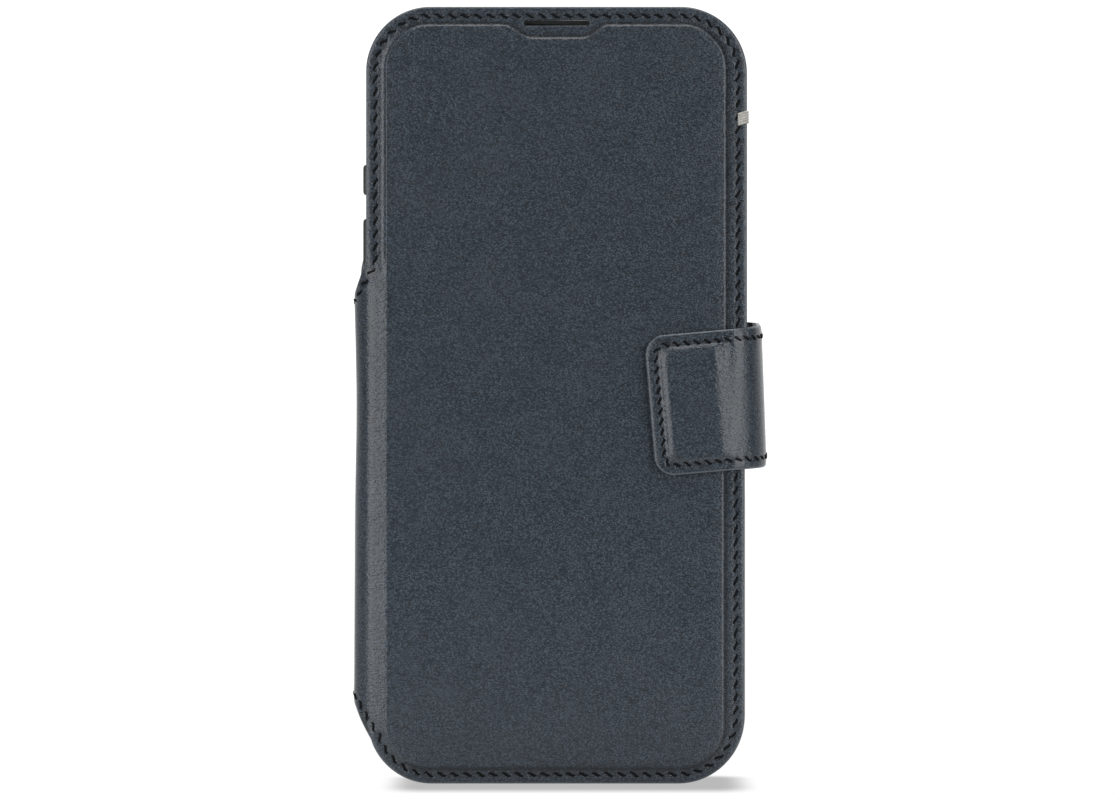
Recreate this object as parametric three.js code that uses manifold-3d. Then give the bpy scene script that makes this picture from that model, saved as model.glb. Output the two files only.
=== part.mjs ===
// Folio wallet case for a slab phone, standing upright and closed, in millimetres.
// +Z is up, the front cover faces -Y and the spine is on the -X side. A leather folio (front cover with
// card pockets, spine, short back panel and a magnetic strap) carries an inner phone case by magnets.
import * as THREE from 'three';
import { mergeVertices } from 'three/addons/utils/BufferGeometryUtils.js';
import Module from 'manifold-3d';

const wasm = await Module();
wasm.setup();

// ---------------------------------------------------------------- driving dimensions
const FOLIO = { width: 82.6, height: 168.5, corner: 14.4 };
const PHONE = { width: 77.6, height: 163.0, depth: 8.3, corner: 11.7 };
const HALF = FOLIO.width / 2;
const MIDDLE = FOLIO.height / 2;

// Sheet stock and the film of glue or air between stacked sheets.
const GLUE = 0.05;
const SHEET = 0.5;
const SKIN = 0.95;
const THREAD = { width: 0.5, height: 0.25 };

// Depth levels of the front cover, from its outer face inwards (-Y is outwards).
const COVER = { panelFront: -10.3, marginFront: -9.7, hemBack: -8.15 };
const PANEL = { left: 3.9, right: 4.4, top: 3.9, bottom: 3.4, corner: 9.6, edge: 0.4 };
const NOTCH = { topWidth: 21.1, floorWidth: 12.4, depth: 2.8 };
const SPEAKER_SLOT = { width: 14.2, height: 1.0, belowTop: 3.5 };
const STITCH_INSET = 2.0;
const RECESS_INSET = 1.0;
const BOARD_PLAY = 0.3;
const LINING_INSET = 0.8;

// The spine runs only over the lower part of the folio and stands proud of the cover's edge.
const SPINE = { outer: -43.6, thickness: 1.2, bottom: 17.5, top: 106.6, leather: 0.7 };
const FOLD_GAP = 0.15;
const STRAP_BACK_GAP = 0.6;
const STITCHED_FROM = { bottom: 14, top: 113 };

// Back panel: it ends below the camera.
const BACK = { outer: 9.4, hemFront: 7.15, liningFront: 6.65, height: 117, topCorner: 6 };

// Pockets inside the cover, opening towards the spine; cards stand upright in them.
const CASH_POCKET = { left: -30, right: 38.6, bottom: 5.5, top: 160.5, corner: 9 };
const CARD_POCKET = { firstLeft: -23, step: 11, right: 38.2, bottom: 34, height: 92, corner: 2 };
const CARD_POCKETS = 3;

// Strap: the side band and the flap are both 30.5 wide; the fold leans, so the flap dips to its tip.
const STRAP = { width: 30.5, thickness: 2.0, leather: 1.15, glue: 0.1, innerRadius: 1.5, outer: 45.3 };
const STRAP_HEIGHT = 84.3;
const FOLD_LEAN = THREE.MathUtils.degToRad(-3);
const FLAP = { reach: 21.3, corner: 4.3, inner: -10.6, stitchInset: 2.3 };
const PAD = { width: 11.2, height: 23.4, rise: 0.7, fromTip: 3.9, fromTop: 3.9, corner: 1.8 };
const MAGNET_BAR = { width: 9.4, height: 21.4, thickness: 0.9, corner: 1 };
const CATCH = { x: 29.6, z: 82.7, width: 10, height: 24, thickness: 0.9, corner: 1 };

// Inner phone case.
const CASE = { wall: 2.0, play: 0.2, lip: 1.0, lipReach: 1.2, edge: 0.8 };
const CASE_BACK = { liningFront: 4.2, lining: 0.35, shellFront: 4.6, shellBack: 5.7, outer: 6.35 };
const CAMERA = { x: 16.6, z: 142.6, width: 38.4, height: 40.4, corner: 9.5, ring: 1.3, ringBack: 7.0 };
const RING_MAGNET = { outer: 27.2, inner: 22.8, thickness: 0.5 };
const BAR_MAGNET = { width: 5, height: 15, below: 40 };
const MAGNET_PLAY = 0.3;
const PORT = { width: 13, height: 6.5 };
const SPEAKER = { width: 15, height: 3.2, x: 22 };

// Buttons of the inner case: the distance of the centre below the folio's top, and the length.
const BUTTONS = [
  { name: 'action_button', side: -1, below: 37.25, length: 6.7, proud: 1.25 },
  { name: 'volume_up_button', side: -1, below: 51.25, length: 11.1, proud: 1.25 },
  { name: 'volume_down_button', side: -1, below: 65.25, length: 11.1, proud: 1.25 },
  { name: 'side_button', side: 1, below: 58.25, length: 17.4, proud: 0.25 },
];
const BUTTON = { height: 3.0, play: 0.25, flange: 0.6, flangeRim: 0.6, travel: 0.5 };

// Thread tag sewn round the cover's free edge.
const TAG = { z: 144.3, height: 2.75, front: 1.9, thickness: 0.3 };

// Steps along each quarter arc are twice these numbers.
const ARC_STEPS = 5;
const SMALL_ARC_STEPS = 2;

// ---------------------------------------------------------------- materials
const material = (color, roughness, metalness = 0) =>
  new THREE.MeshStandardMaterial({ color, roughness, metalness });
const LEATHER = material(0x3e464e, 0.55);
const LINING = material(0x4a5057, 0.9);
const BOARD = material(0x8d8474, 0.95);
const THREAD_BLACK = material(0x16181b, 0.8);
const THREAD_PALE = material(0xd8d3c6, 0.8);
const MAGNET = material(0x9a9da1, 0.35, 1);
const RUBBER = material(0x25272a, 0.6);
const SHELL = material(0x2d3033, 0.45);
const RING_METAL = material(0x3a3d41, 0.35, 0.9);

// ---------------------------------------------------------------- outlines in the X-Z plane
function roundedRect(left, bottom, right, top, lowCorner, highCorner = lowCorner) {
  const shape = new THREE.Shape();
  shape.moveTo(left + lowCorner, bottom);
  shape.absarc(right - lowCorner, bottom + lowCorner, lowCorner, -Math.PI / 2, 0, false);
  shape.absarc(right - highCorner, top - highCorner, highCorner, 0, Math.PI / 2, false);
  shape.absarc(left + highCorner, top - highCorner, highCorner, Math.PI / 2, Math.PI, false);
  shape.absarc(left + lowCorner, bottom + lowCorner, lowCorner, Math.PI, 1.5 * Math.PI, false);
  return shape;
}

function centredRect(x, z, width, height, corner) {
  return roundedRect(x - width / 2, z - height / 2, x + width / 2, z + height / 2, corner);
}

function folioOutline(inset = 0) {
  return roundedRect(-HALF + inset, inset, HALF - inset, FOLIO.height - inset, FOLIO.corner - inset);
}

function backOutline(inset = 0) {
  return roundedRect(-HALF + inset, inset, HALF - inset, BACK.height - inset,
    FOLIO.corner - inset, BACK.topCorner - inset);
}

// The raised panel of the cover, with a shallow notch in its top edge that clears the speaker slot.
function panelOutline(inset = 0) {
  const left = -HALF + PANEL.left + inset;
  const right = HALF - PANEL.right - inset;
  const bottom = PANEL.bottom + inset;
  const top = FOLIO.height - PANEL.top - inset;
  const corner = PANEL.corner - inset;
  const notchTop = NOTCH.topWidth / 2;
  const notchFloor = NOTCH.floorWidth / 2;
  const bend = (notchTop - notchFloor) / 2;
  const floor = top - NOTCH.depth;
  const shape = new THREE.Shape();
  shape.moveTo(left + corner, bottom);
  shape.absarc(right - corner, bottom + corner, corner, -Math.PI / 2, 0, false);
  shape.absarc(right - corner, top - corner, corner, 0, Math.PI / 2, false);
  shape.lineTo(notchTop, top);
  shape.bezierCurveTo(notchTop - bend, top, notchFloor + bend, floor, notchFloor, floor);
  shape.lineTo(-notchFloor, floor);
  shape.bezierCurveTo(-notchFloor - bend, floor, -notchTop + bend, top, -notchTop, top);
  shape.absarc(left + corner, top - corner, corner, Math.PI / 2, Math.PI, false);
  shape.absarc(left + corner, bottom + corner, corner, Math.PI, 1.5 * Math.PI, false);
  return shape;
}

function disc(x, z, radius) {
  return centredRect(x, z, 2 * radius, 2 * radius, radius);
}

// ---------------------------------------------------------------- solids
// A sheet with the given outline that lies between two Y levels. A bevel rounds its rims.
function slab(outline, front, back, bevel = 0, arcSteps = ARC_STEPS) {
  const geometry = new THREE.ExtrudeGeometry(outline, {
    depth: back - front - 2 * bevel,
    curveSegments: arcSteps,
    bevelEnabled: bevel > 0,
    bevelThickness: bevel,
    bevelSize: bevel,
    bevelOffset: -bevel,
    bevelSegments: 2,
  });
  return geometry.rotateX(Math.PI / 2).translate(0, back - bevel, 0);
}

function smallSlab(outline, front, back, bevel = 0) {
  return slab(outline, front, back, bevel, SMALL_ARC_STEPS);
}

// A plate that faces sideways: its outline is given in Y and Z, and it lies between two X levels.
function sidePlate(outline, left, right) {
  const geometry = new THREE.ExtrudeGeometry(outline, {
    depth: right - left,
    curveSegments: SMALL_ARC_STEPS,
    bevelEnabled: false,
  });
  return geometry.rotateZ(Math.PI / 2).rotateY(Math.PI / 2).translate(left, 0, 0);
}

function box(minX, minY, minZ, maxX, maxY, maxZ) {
  const geometry = new THREE.BoxGeometry(maxX - minX, maxY - minY, maxZ - minZ);
  return geometry.translate((minX + maxX) / 2, (minY + maxY) / 2, (minZ + maxZ) / 2);
}

function toManifold(geometry) {
  const bare = geometry.clone();
  bare.deleteAttribute('normal');
  bare.deleteAttribute('uv');
  const merged = mergeVertices(bare, 1e-4);
  return new wasm.Manifold(new wasm.Mesh({
    numProp: 3,
    vertProperties: new Float32Array(merged.attributes.position.array),
    triVerts: new Uint32Array(merged.index.array),
  }));
}

function toGeometry(solid) {
  const mesh = solid.getMesh();
  const geometry = new THREE.BufferGeometry();
  geometry.setAttribute('position', new THREE.BufferAttribute(mesh.vertProperties, 3));
  geometry.setIndex(new THREE.BufferAttribute(mesh.triVerts, 1));
  geometry.computeVertexNormals();
  return geometry;
}

// Joins the first list of shapes and cuts the second list out of them.
function carve(joined, cut) {
  let solid = toManifold(joined[0]);
  for (const shape of joined.slice(1)) {
    solid = solid.add(toManifold(shape));
  }
  for (const shape of cut) {
    solid = solid.subtract(toManifold(shape));
  }
  return toGeometry(solid);
}

function addPart(group, name, geometry, look) {
  const mesh = new THREE.Mesh(geometry, look);
  mesh.name = name;
  group.add(mesh);
}

// A thread line along an outline: a thin strip, left open where the leather runs on into the next part.
// With play it is the groove that such a strip lies in.
function threadLine(outlineAt, inset, front, gapBox, play = 0) {
  const outer = slab(outlineAt(inset - play), front - play, front + THREAD.height + play);
  const inner = slab(outlineAt(inset + THREAD.width + play), front - 1, front + 1);
  return carve([outer], [inner, gapBox]);
}

// ---------------------------------------------------------------- front cover
function buildCover(group) {
  const slotHeight = FOLIO.height - SPEAKER_SLOT.belowTop;
  const slot = smallSlab(centredRect(0, slotHeight, SPEAKER_SLOT.width, SPEAKER_SLOT.height, 0.4), -12, -5);
  const recessFront = COVER.panelFront + SKIN;
  const boardFront = recessFront + GLUE;
  const boardBack = COVER.hemBack - GLUE;

  const leather = carve(
    [slab(folioOutline(), COVER.marginFront, COVER.hemBack),
      slab(panelOutline(), COVER.panelFront, COVER.hemBack, PANEL.edge)],
    [slab(panelOutline(RECESS_INSET), recessFront, COVER.hemBack + 1), slot],
  );
  addPart(group, 'cover_leather', leather, LEATHER);

  const catchHole = centredRect(CATCH.x, CATCH.z, CATCH.width + MAGNET_PLAY, CATCH.height + MAGNET_PLAY,
    CATCH.corner);
  const board = carve(
    [slab(panelOutline(RECESS_INSET + BOARD_PLAY), boardFront, boardBack)],
    [smallSlab(catchHole, boardFront - 1, boardBack + 1)],
  );
  addPart(group, 'cover_board', board, BOARD);
  const catchPlate = smallSlab(centredRect(CATCH.x, CATCH.z, CATCH.width, CATCH.height, CATCH.corner),
    boardFront, boardFront + CATCH.thickness);
  addPart(group, 'cover_magnet', catchPlate, MAGNET);

  const liningFront = COVER.hemBack + GLUE;
  addPart(group, 'cover_lining',
    carve([slab(folioOutline(LINING_INSET), liningFront, liningFront + SHEET)], [slot]), LINING);

  const cashFront = liningFront + SHEET + GLUE;
  const cash = roundedRect(CASH_POCKET.left, CASH_POCKET.bottom, CASH_POCKET.right, CASH_POCKET.top,
    CASH_POCKET.corner);
  addPart(group, 'cash_pocket', slab(cash, cashFront, cashFront + SHEET), LEATHER);
  for (let index = 0; index < CARD_POCKETS; index++) {
    const front = cashFront + (index + 1) * (SHEET + GLUE);
    const outline = roundedRect(CARD_POCKET.firstLeft + index * CARD_POCKET.step, CARD_POCKET.bottom,
      CARD_POCKET.right, CARD_POCKET.bottom + CARD_POCKET.height, CARD_POCKET.corner);
    addPart(group, `card_pocket_${index + 1}`, smallSlab(outline, front, front + SHEET), LEATHER);
  }

  const threadFront = COVER.marginFront - GLUE - THREAD.height;
  const gap = box(-HALF - 1, -12, STITCHED_FROM.bottom, -HALF + FOLIO.corner / 2, -7, STITCHED_FROM.top);
  addPart(group, 'cover_stitching', threadLine(folioOutline, STITCH_INSET, threadFront, gap), THREAD_BLACK);
  addPart(group, 'edge_tag', buildTag(), THREAD_PALE);
}

// A short bar of thread that lies on the margin and turns round the cover's edge.
function buildTag() {
  const front = COVER.marginFront - GLUE - TAG.thickness;
  const edge = HALF + GLUE;
  const bottom = TAG.z - TAG.height / 2;
  const top = TAG.z + TAG.height / 2;
  const onMargin = box(HALF - TAG.front, front, bottom, edge + TAG.thickness, front + TAG.thickness, top);
  const onEdge = box(edge, front, bottom, edge + TAG.thickness, COVER.hemBack, top);
  return carve([onMargin, onEdge], []);
}

// ---------------------------------------------------------------- spine
function buildSpine(group) {
  const inner = SPINE.outer + SPINE.thickness;
  const front = COVER.marginFront + spineRadius() + FOLD_GAP;
  const back = BACK.outer - spineRadius() - FOLD_GAP;
  const outline = roundedRect(front, SPINE.bottom, back, SPINE.top, 1);
  addPart(group, 'spine_leather', sidePlate(outline, SPINE.outer, SPINE.outer + SPINE.leather), LEATHER);
  addPart(group, 'spine_lining', sidePlate(outline, SPINE.outer + SPINE.leather + GLUE, inner), LINING);

  const threads = { spine_bottom_stitching: SPINE.bottom + STITCH_INSET,
    spine_top_stitching: SPINE.top - STITCH_INSET };
  for (const [name, height] of Object.entries(threads)) {
    const outerFace = SPINE.outer - GLUE;
    const line = box(outerFace - THREAD.height, front + 1, height - THREAD.width / 2,
      outerFace, back - 1, height + THREAD.width / 2);
    addPart(group, name, line, THREAD_BLACK);
  }
}

// Radius of the leather's outer face round the two fold lines beside the spine.
function spineRadius() {
  return -HALF - FOLD_GAP - SPINE.outer;
}

// ---------------------------------------------------------------- back panel
function ringMagnet(front, play = 0) {
  const ring = disc(0, MIDDLE, RING_MAGNET.outer + play);
  ring.holes.push(disc(0, MIDDLE, RING_MAGNET.inner - play));
  return slab(ring, front - play, front + RING_MAGNET.thickness + play);
}

function barMagnet(front, play = 0) {
  const outline = centredRect(0, MIDDLE - BAR_MAGNET.below, BAR_MAGNET.width + 2 * play,
    BAR_MAGNET.height + 2 * play, 1);
  return smallSlab(outline, front - play, front + RING_MAGNET.thickness + play);
}

function buildBackPanel(group) {
  const recessBack = BACK.outer - SKIN;
  const gap = box(-HALF - 1, 7, STITCHED_FROM.bottom, -HALF + FOLIO.corner / 2, 12, BACK.height - 7);
  const threadFront = BACK.outer - THREAD.height;
  const groove = threadLine(backOutline, STITCH_INSET, threadFront, gap, GLUE);
  const leather = carve(
    [slab(backOutline(), BACK.hemFront, BACK.outer, PANEL.edge)],
    [slab(backOutline(PANEL.left), BACK.hemFront - 1, recessBack), groove],
  );
  addPart(group, 'back_leather', leather, LEATHER);

  const boardFront = BACK.hemFront + GLUE;
  const magnetFront = boardFront + MAGNET_PLAY;
  const board = carve(
    [slab(backOutline(PANEL.left + BOARD_PLAY), boardFront, recessBack - GLUE)],
    [ringMagnet(magnetFront, MAGNET_PLAY), barMagnet(magnetFront, MAGNET_PLAY)],
  );
  addPart(group, 'back_board', board, BOARD);
  addPart(group, 'back_magnet_ring', ringMagnet(magnetFront), MAGNET);
  addPart(group, 'back_alignment_magnet', barMagnet(magnetFront), MAGNET);
  addPart(group, 'back_lining',
    slab(backOutline(LINING_INSET), BACK.liningFront, BACK.hemFront - GLUE), LINING);

  const gapEnds = box(-HALF - 1, 7, STITCHED_FROM.bottom - GLUE, -HALF + FOLIO.corner / 2, 12,
    BACK.height - 7 + GLUE);
  addPart(group, 'back_stitching', threadLine(backOutline, STITCH_INSET, threadFront, gapEnds),
    THREAD_BLACK);
}

// ---------------------------------------------------------------- inner phone case
function caseOutline(inset) {
  const side = PHONE.width / 2 + CASE.play + CASE.wall - inset;
  const end = PHONE.height / 2 + CASE.play + CASE.wall - inset;
  return roundedRect(-side, MIDDLE - end, side, MIDDLE + end, PHONE.corner + CASE.play + CASE.wall - inset);
}

function cameraOutline(grow) {
  return centredRect(CAMERA.x, CAMERA.z, CAMERA.width + 2 * grow, CAMERA.height + 2 * grow,
    CAMERA.corner + grow);
}

// Button openings: a slot through the wall, and a wider recess inside it that holds the button's flange.
function buttonCuts() {
  const wallInside = PHONE.width / 2 + CASE.play;
  return BUTTONS.flatMap((button) => {
    const z = FOLIO.height - button.below;
    const near = Math.min(button.side * (wallInside - 1), button.side * (wallInside + CASE.wall + 1));
    const reach = button.side * (wallInside - 1);
    const recessEnd = button.side * (wallInside + BUTTON.flange + BUTTON.travel);
    const through = centredRect(0, z, BUTTON.height + 2 * BUTTON.play,
      button.length + 2 * BUTTON.play, BUTTON.height / 2);
    const rim = 2 * (BUTTON.flangeRim + BUTTON.play);
    const recess = centredRect(0, z, BUTTON.height + rim, button.length + rim, BUTTON.height / 2);
    return [
      sidePlate(through, near, near + CASE.wall + 2),
      sidePlate(recess, Math.min(reach, recessEnd), Math.max(reach, recessEnd)),
    ];
  });
}

function endCuts() {
  const cut = (x, width, height) => {
    const outline = centredRect(x, 0, width, height, height / 2 - 0.01);
    const geometry = new THREE.ExtrudeGeometry(outline, { depth: 6, bevelEnabled: false,
      curveSegments: SMALL_ARC_STEPS });
    return geometry.translate(0, 0, -1);
  };
  return [
    cut(0, PORT.width, PORT.height),
    cut(-SPEAKER.x, SPEAKER.width, SPEAKER.height),
    cut(SPEAKER.x, SPEAKER.width, SPEAKER.height),
  ];
}

function buildPhoneCase(group) {
  const lipFront = -PHONE.depth / 2 - CASE.lip;
  const cavityFront = -PHONE.depth / 2;
  const bumper = carve(
    [slab(caseOutline(0), lipFront, CASE_BACK.shellBack, CASE.edge)],
    [
      slab(caseOutline(CASE.wall), cavityFront, CASE_BACK.shellBack + 1),
      slab(caseOutline(CASE.wall + CASE.lipReach), lipFront - 1, cavityFront + 1),
      ...buttonCuts(),
      ...endCuts(),
    ],
  );
  addPart(group, 'case_bumper', bumper, RUBBER);

  const insert = CASE.wall + BOARD_PLAY;
  const cameraHole = slab(cameraOutline(CAMERA.ring + GLUE), 0, 10);
  const lining = carve([slab(caseOutline(insert), CASE_BACK.liningFront,
    CASE_BACK.liningFront + CASE_BACK.lining)], [cameraHole]);
  addPart(group, 'case_lining', lining, LINING);

  const magnetFront = CASE_BACK.shellBack - RING_MAGNET.thickness - GLUE;
  const shell = carve(
    [slab(caseOutline(insert), CASE_BACK.shellFront, CASE_BACK.shellBack)],
    [ringMagnet(magnetFront, GLUE), barMagnet(magnetFront, GLUE), cameraHole],
  );
  addPart(group, 'case_shell', shell, SHELL);
  addPart(group, 'case_magnet_ring', ringMagnet(magnetFront), MAGNET);
  addPart(group, 'case_alignment_magnet', barMagnet(magnetFront), MAGNET);

  const leather = carve([slab(caseOutline(CASE.edge), CASE_BACK.shellBack + GLUE, CASE_BACK.outer)],
    [cameraHole]);
  addPart(group, 'case_back_leather', leather, LEATHER);

  const ring = carve([slab(cameraOutline(CAMERA.ring), CASE_BACK.liningFront, CAMERA.ringBack, 0.4)],
    [slab(cameraOutline(0), 0, 10)]);
  addPart(group, 'camera_ring', ring, RING_METAL);
}

// Each button is a pad that passes through the wall, with a wider flange behind it.
function buildButtons(group) {
  const wallInside = PHONE.width / 2 + CASE.play;
  for (const button of BUTTONS) {
    const z = FOLIO.height - button.below;
    const outerFace = wallInside + CASE.wall + button.proud;
    const innerFace = PHONE.width / 2 + BUTTON.travel;
    const flangeOuter = innerFace + BUTTON.flange;
    const pad = centredRect(0, z, BUTTON.height, button.length, BUTTON.height / 2 - 0.1);
    const rim = 2 * BUTTON.flangeRim;
    const flange = centredRect(0, z, BUTTON.height + rim, button.length + rim, BUTTON.height / 2);
    const span = (from, to) => (button.side > 0 ? [from, to] : [-to, -from]);
    const geometry = carve(
      [sidePlate(pad, ...span(innerFace, outerFace)), sidePlate(flange, ...span(innerFace, flangeOuter))],
      [],
    );
    addPart(group, button.name, geometry, RUBBER);
  }
}

// ---------------------------------------------------------------- strap
// The strap is drawn about its front fold line, which stands at the strap group's own origin.
function buildStrapSide(group) {
  const foldToBack = BACK.outer - strapRadius() - foldDepth();
  const outline = roundedRect(FOLD_GAP, -STRAP.width / 2, foldToBack - STRAP_BACK_GAP, STRAP.width / 2, 0.2);
  const outer = strapRadius();
  const leatherInner = outer - STRAP.leather;
  addPart(group, 'strap_side_leather', sidePlate(outline, leatherInner, outer), LEATHER);
  addPart(group, 'strap_side_lining', sidePlate(outline, STRAP.innerRadius, leatherInner - STRAP.glue),
    LINING);
  for (const [name, side] of [['strap_upper_stitching', 1], ['strap_lower_stitching', -1]]) {
    const z = side * (STRAP.width / 2 - FLAP.stitchInset);
    const line = box(outer + GLUE, 2 * FOLD_GAP, z - THREAD.width / 2,
      outer + GLUE + THREAD.height, foldToBack - 2 * STRAP_BACK_GAP, z + THREAD.width / 2);
    addPart(group, name, line, THREAD_BLACK);
  }
}

function strapRadius() {
  return STRAP.innerRadius + STRAP.thickness;
}

// Y level of the front fold line.
function foldDepth() {
  return FLAP.inner + STRAP.innerRadius;
}

function flapOutline(inset) {
  const half = STRAP.width / 2 - inset;
  return roundedRect(-FLAP.reach + inset, -half, 4 * STRAP.thickness, half, FLAP.corner - inset);
}

function buildStrapFlap(group) {
  const innerFace = -STRAP.innerRadius;
  const outerFace = -strapRadius();
  const leatherInner = outerFace + STRAP.leather;
  const padCentre = { x: -FLAP.reach + PAD.fromTip + PAD.width / 2,
    z: STRAP.width / 2 - PAD.fromTop - PAD.height / 2 };
  const leaning = (geometry) => geometry.rotateY(FOLD_LEAN);
  const pastFold = box(-FOLD_GAP, -10, -STRAP.width, 10, 10, STRAP.width);
  const bar = (play) => centredRect(padCentre.x, padCentre.z, MAGNET_BAR.width + play,
    MAGNET_BAR.height + play, MAGNET_BAR.corner);

  const leather = carve(
    [leaning(slab(flapOutline(0), outerFace, leatherInner)),
      leaning(smallSlab(centredRect(padCentre.x, padCentre.z, PAD.width, PAD.height, PAD.corner),
        outerFace - PAD.rise, leatherInner, PAD.rise / 2))],
    [leaning(smallSlab(bar(MAGNET_PLAY), leatherInner - MAGNET_BAR.thickness - 2 * STRAP.glue, 0)), pastFold],
  );
  addPart(group, 'flap_leather', leather, LEATHER);
  const magnetInner = leatherInner - STRAP.glue;
  const magnet = leaning(smallSlab(bar(0), magnetInner - MAGNET_BAR.thickness, magnetInner));
  addPart(group, 'flap_magnet', magnet, MAGNET);
  addPart(group, 'flap_lining',
    carve([leaning(slab(flapOutline(0), leatherInner + STRAP.glue, innerFace))], [pastFold]), LINING);

  const threadFront = outerFace - GLUE - THREAD.height;
  const thread = carve(
    [leaning(slab(flapOutline(FLAP.stitchInset), threadFront, threadFront + THREAD.height))],
    [leaning(slab(flapOutline(FLAP.stitchInset + THREAD.width), threadFront - 1, threadFront + 1)), pastFold],
  );
  addPart(group, 'flap_stitching', thread, THREAD_BLACK);
}

function buildStrap(group) {
  const strap = new THREE.Group();
  strap.position.set(STRAP.outer - strapRadius(), foldDepth(), STRAP_HEIGHT);
  strap.rotation.y = FOLD_LEAN;
  buildStrapSide(strap);
  buildStrapFlap(strap);
  group.add(strap);
}

// ---------------------------------------------------------------- assembly
// The origin is moved to the middle of the base.
const walletCase = new THREE.Group();
buildCover(walletCase);
buildSpine(walletCase);
buildBackPanel(walletCase);
buildPhoneCase(walletCase);
buildButtons(walletCase);
buildStrap(walletCase);

const bounds = new THREE.Box3().setFromObject(walletCase, true);
const centre = bounds.getCenter(new THREE.Vector3());
walletCase.position.set(-centre.x, -centre.y, -bounds.min.z);

export default walletCase;
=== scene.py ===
"""Looks of the folio wallet case.

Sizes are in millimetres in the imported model's frame: X right, Z up, -Y front. Leather pieces are drawn flat,
in (u, z), with a height w above the outer face, and are then bent round their folds by a place function.
"""

import math

import bpy
import bmesh
import numpy as np
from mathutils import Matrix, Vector
from mathutils.geometry import delaunay_2d_cdt
from mathutils.kdtree import KDTree


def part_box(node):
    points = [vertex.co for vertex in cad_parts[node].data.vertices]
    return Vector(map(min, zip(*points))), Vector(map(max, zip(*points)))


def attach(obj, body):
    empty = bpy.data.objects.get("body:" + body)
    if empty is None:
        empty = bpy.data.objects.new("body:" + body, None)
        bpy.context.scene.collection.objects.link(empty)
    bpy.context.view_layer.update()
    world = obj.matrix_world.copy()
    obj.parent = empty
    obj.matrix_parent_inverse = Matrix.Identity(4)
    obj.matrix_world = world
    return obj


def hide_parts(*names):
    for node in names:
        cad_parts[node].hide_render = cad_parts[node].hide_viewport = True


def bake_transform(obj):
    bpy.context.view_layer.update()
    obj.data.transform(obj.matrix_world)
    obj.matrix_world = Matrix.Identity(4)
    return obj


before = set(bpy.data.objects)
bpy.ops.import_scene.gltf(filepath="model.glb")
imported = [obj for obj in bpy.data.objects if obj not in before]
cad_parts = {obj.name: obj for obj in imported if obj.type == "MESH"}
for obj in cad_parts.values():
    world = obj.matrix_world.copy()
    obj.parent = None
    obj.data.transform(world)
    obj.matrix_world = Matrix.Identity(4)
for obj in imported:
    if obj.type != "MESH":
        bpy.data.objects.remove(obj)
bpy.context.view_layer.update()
MM = 0.001
# A distance that counts as away from every edge and seam.
FAR = 9.0


def box_mm(node):
    low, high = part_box(node)
    return np.array(low) / MM, np.array(high) / MM


# ---- places taken from the frame
COVER_LOW, COVER_HIGH = box_mm("cover_leather")
_, BACK_HIGH = box_mm("back_leather")
SPINE_LOW, SPINE_HIGH = box_mm("spine_leather")
LEFT, RIGHT, HEIGHT = COVER_LOW[0], COVER_HIGH[0], COVER_HIGH[2]
CENTRE = (LEFT + RIGHT) / 2

# ---- sizes of the leather
# The raised panel: its insets from the cover's edges, and the step up to it, which starts at its foot, rises
# over the ramp and goes on crowning a little as far as the shoulder.
PANEL_RISE = 0.55
PANEL = {"left": 3.9, "right": 4.4, "top": 3.9, "bottom": 3.4, "corner": 9.6}
PANEL_FOOT = 0.15
PANEL_RAMP = 0.85
PANEL_POWER = 2.2
PANEL_SHOULDER = 2.4
PANEL_CROWN = 0.12
# The softer step on the spine's side, and the line of painted shade along the foot elsewhere.
LEFT_RAMP = {"start": -0.75, "width": 1.2, "power": 1.7}
FOOT_SHADE = {"middle": -0.3, "width": 0.42, "share": 0.75}
NOTCH = {"top": 21.1, "floor": 12.4, "depth": 2.8, "outer_bend": 4.0, "inner_bend": 3.5}
SLOT = {"width": 14.2, "height": 1.15, "below_top": 3.5, "corner": 0.45}
COVER_PLANE = COVER_LOW[1] + PANEL_RISE
BACK_PLANE = BACK_HIGH[1]
COVER_HEM = 1.55
COVER_SKIN = 0.4
BACK_HEM = 2.25
BACK_SKIN = 0.95
# Where the back's lining, which lies inside the hinge, starts to follow the spine, and where it wholly does.
LINING_FOLD = [(LEFT + 0.5, 9.3, HEIGHT / 2), (SPINE_LOW[0] + 0.6, 6.0, HEIGHT / 2)]
SPINE_THICKNESS = 0.7
LINING_INSET = 0.8
LINING = 0.45
GLUE = 0.05
EDGE_ROUND = 0.42
RIM_RINGS = tuple(EDGE_ROUND * share for share in (0.06, 0.25, 0.55, 1.0, 1.9))
# How far each piece falls away towards its edge, and over what width.
FALL = {"cover": (0.1, 2.1), "back": (0.2, 3.4), "strap": (0.16, 2.6)}
# Gentle unevenness: layers of height, wavelength and seed.
UNEVEN = {"cover": [(0.035, 34, 5), (0.012, 9, 6)], "back": [(0.03, 30, 8), (0.012, 9, 9)],
          "strap": [(0.03, 14, 15)]}

# The cover lies flat above the spine, from this height, over this length.
FLAT_ABOVE = {"from": 109, "over": 7}
# The spine's hollow: deepest above its middle, a little everywhere, and standing out at its ends.
HOLLOW = {"deepest": 0.4, "place": 0.75, "reach": 0.2, "bow": 0.2, "ends": 0.5}

# The roll between a cover and the spine, and the flat cut in the middle of the spine where two pieces meet.
ROLL = 4.2
SPINE_DIP = 0.5
ROLL_START = SPINE_LOW[0] + ROLL - SPINE_DIP
QUARTER = ROLL * math.pi / 2
SPINE_MIDDLE = (COVER_PLANE + BACK_PLANE) / 2
CUT = ROLL_START - QUARTER - (SPINE_MIDDLE - COVER_PLANE - ROLL)
SPINE_TOP = SPINE_HIGH[2]
SPINE_BOTTOM = SPINE_LOW[2]
SHOULDER = LEFT - 4.37
FREE_FROM = 113.0
FREE_EDGE_LEAN = 0.5
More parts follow.
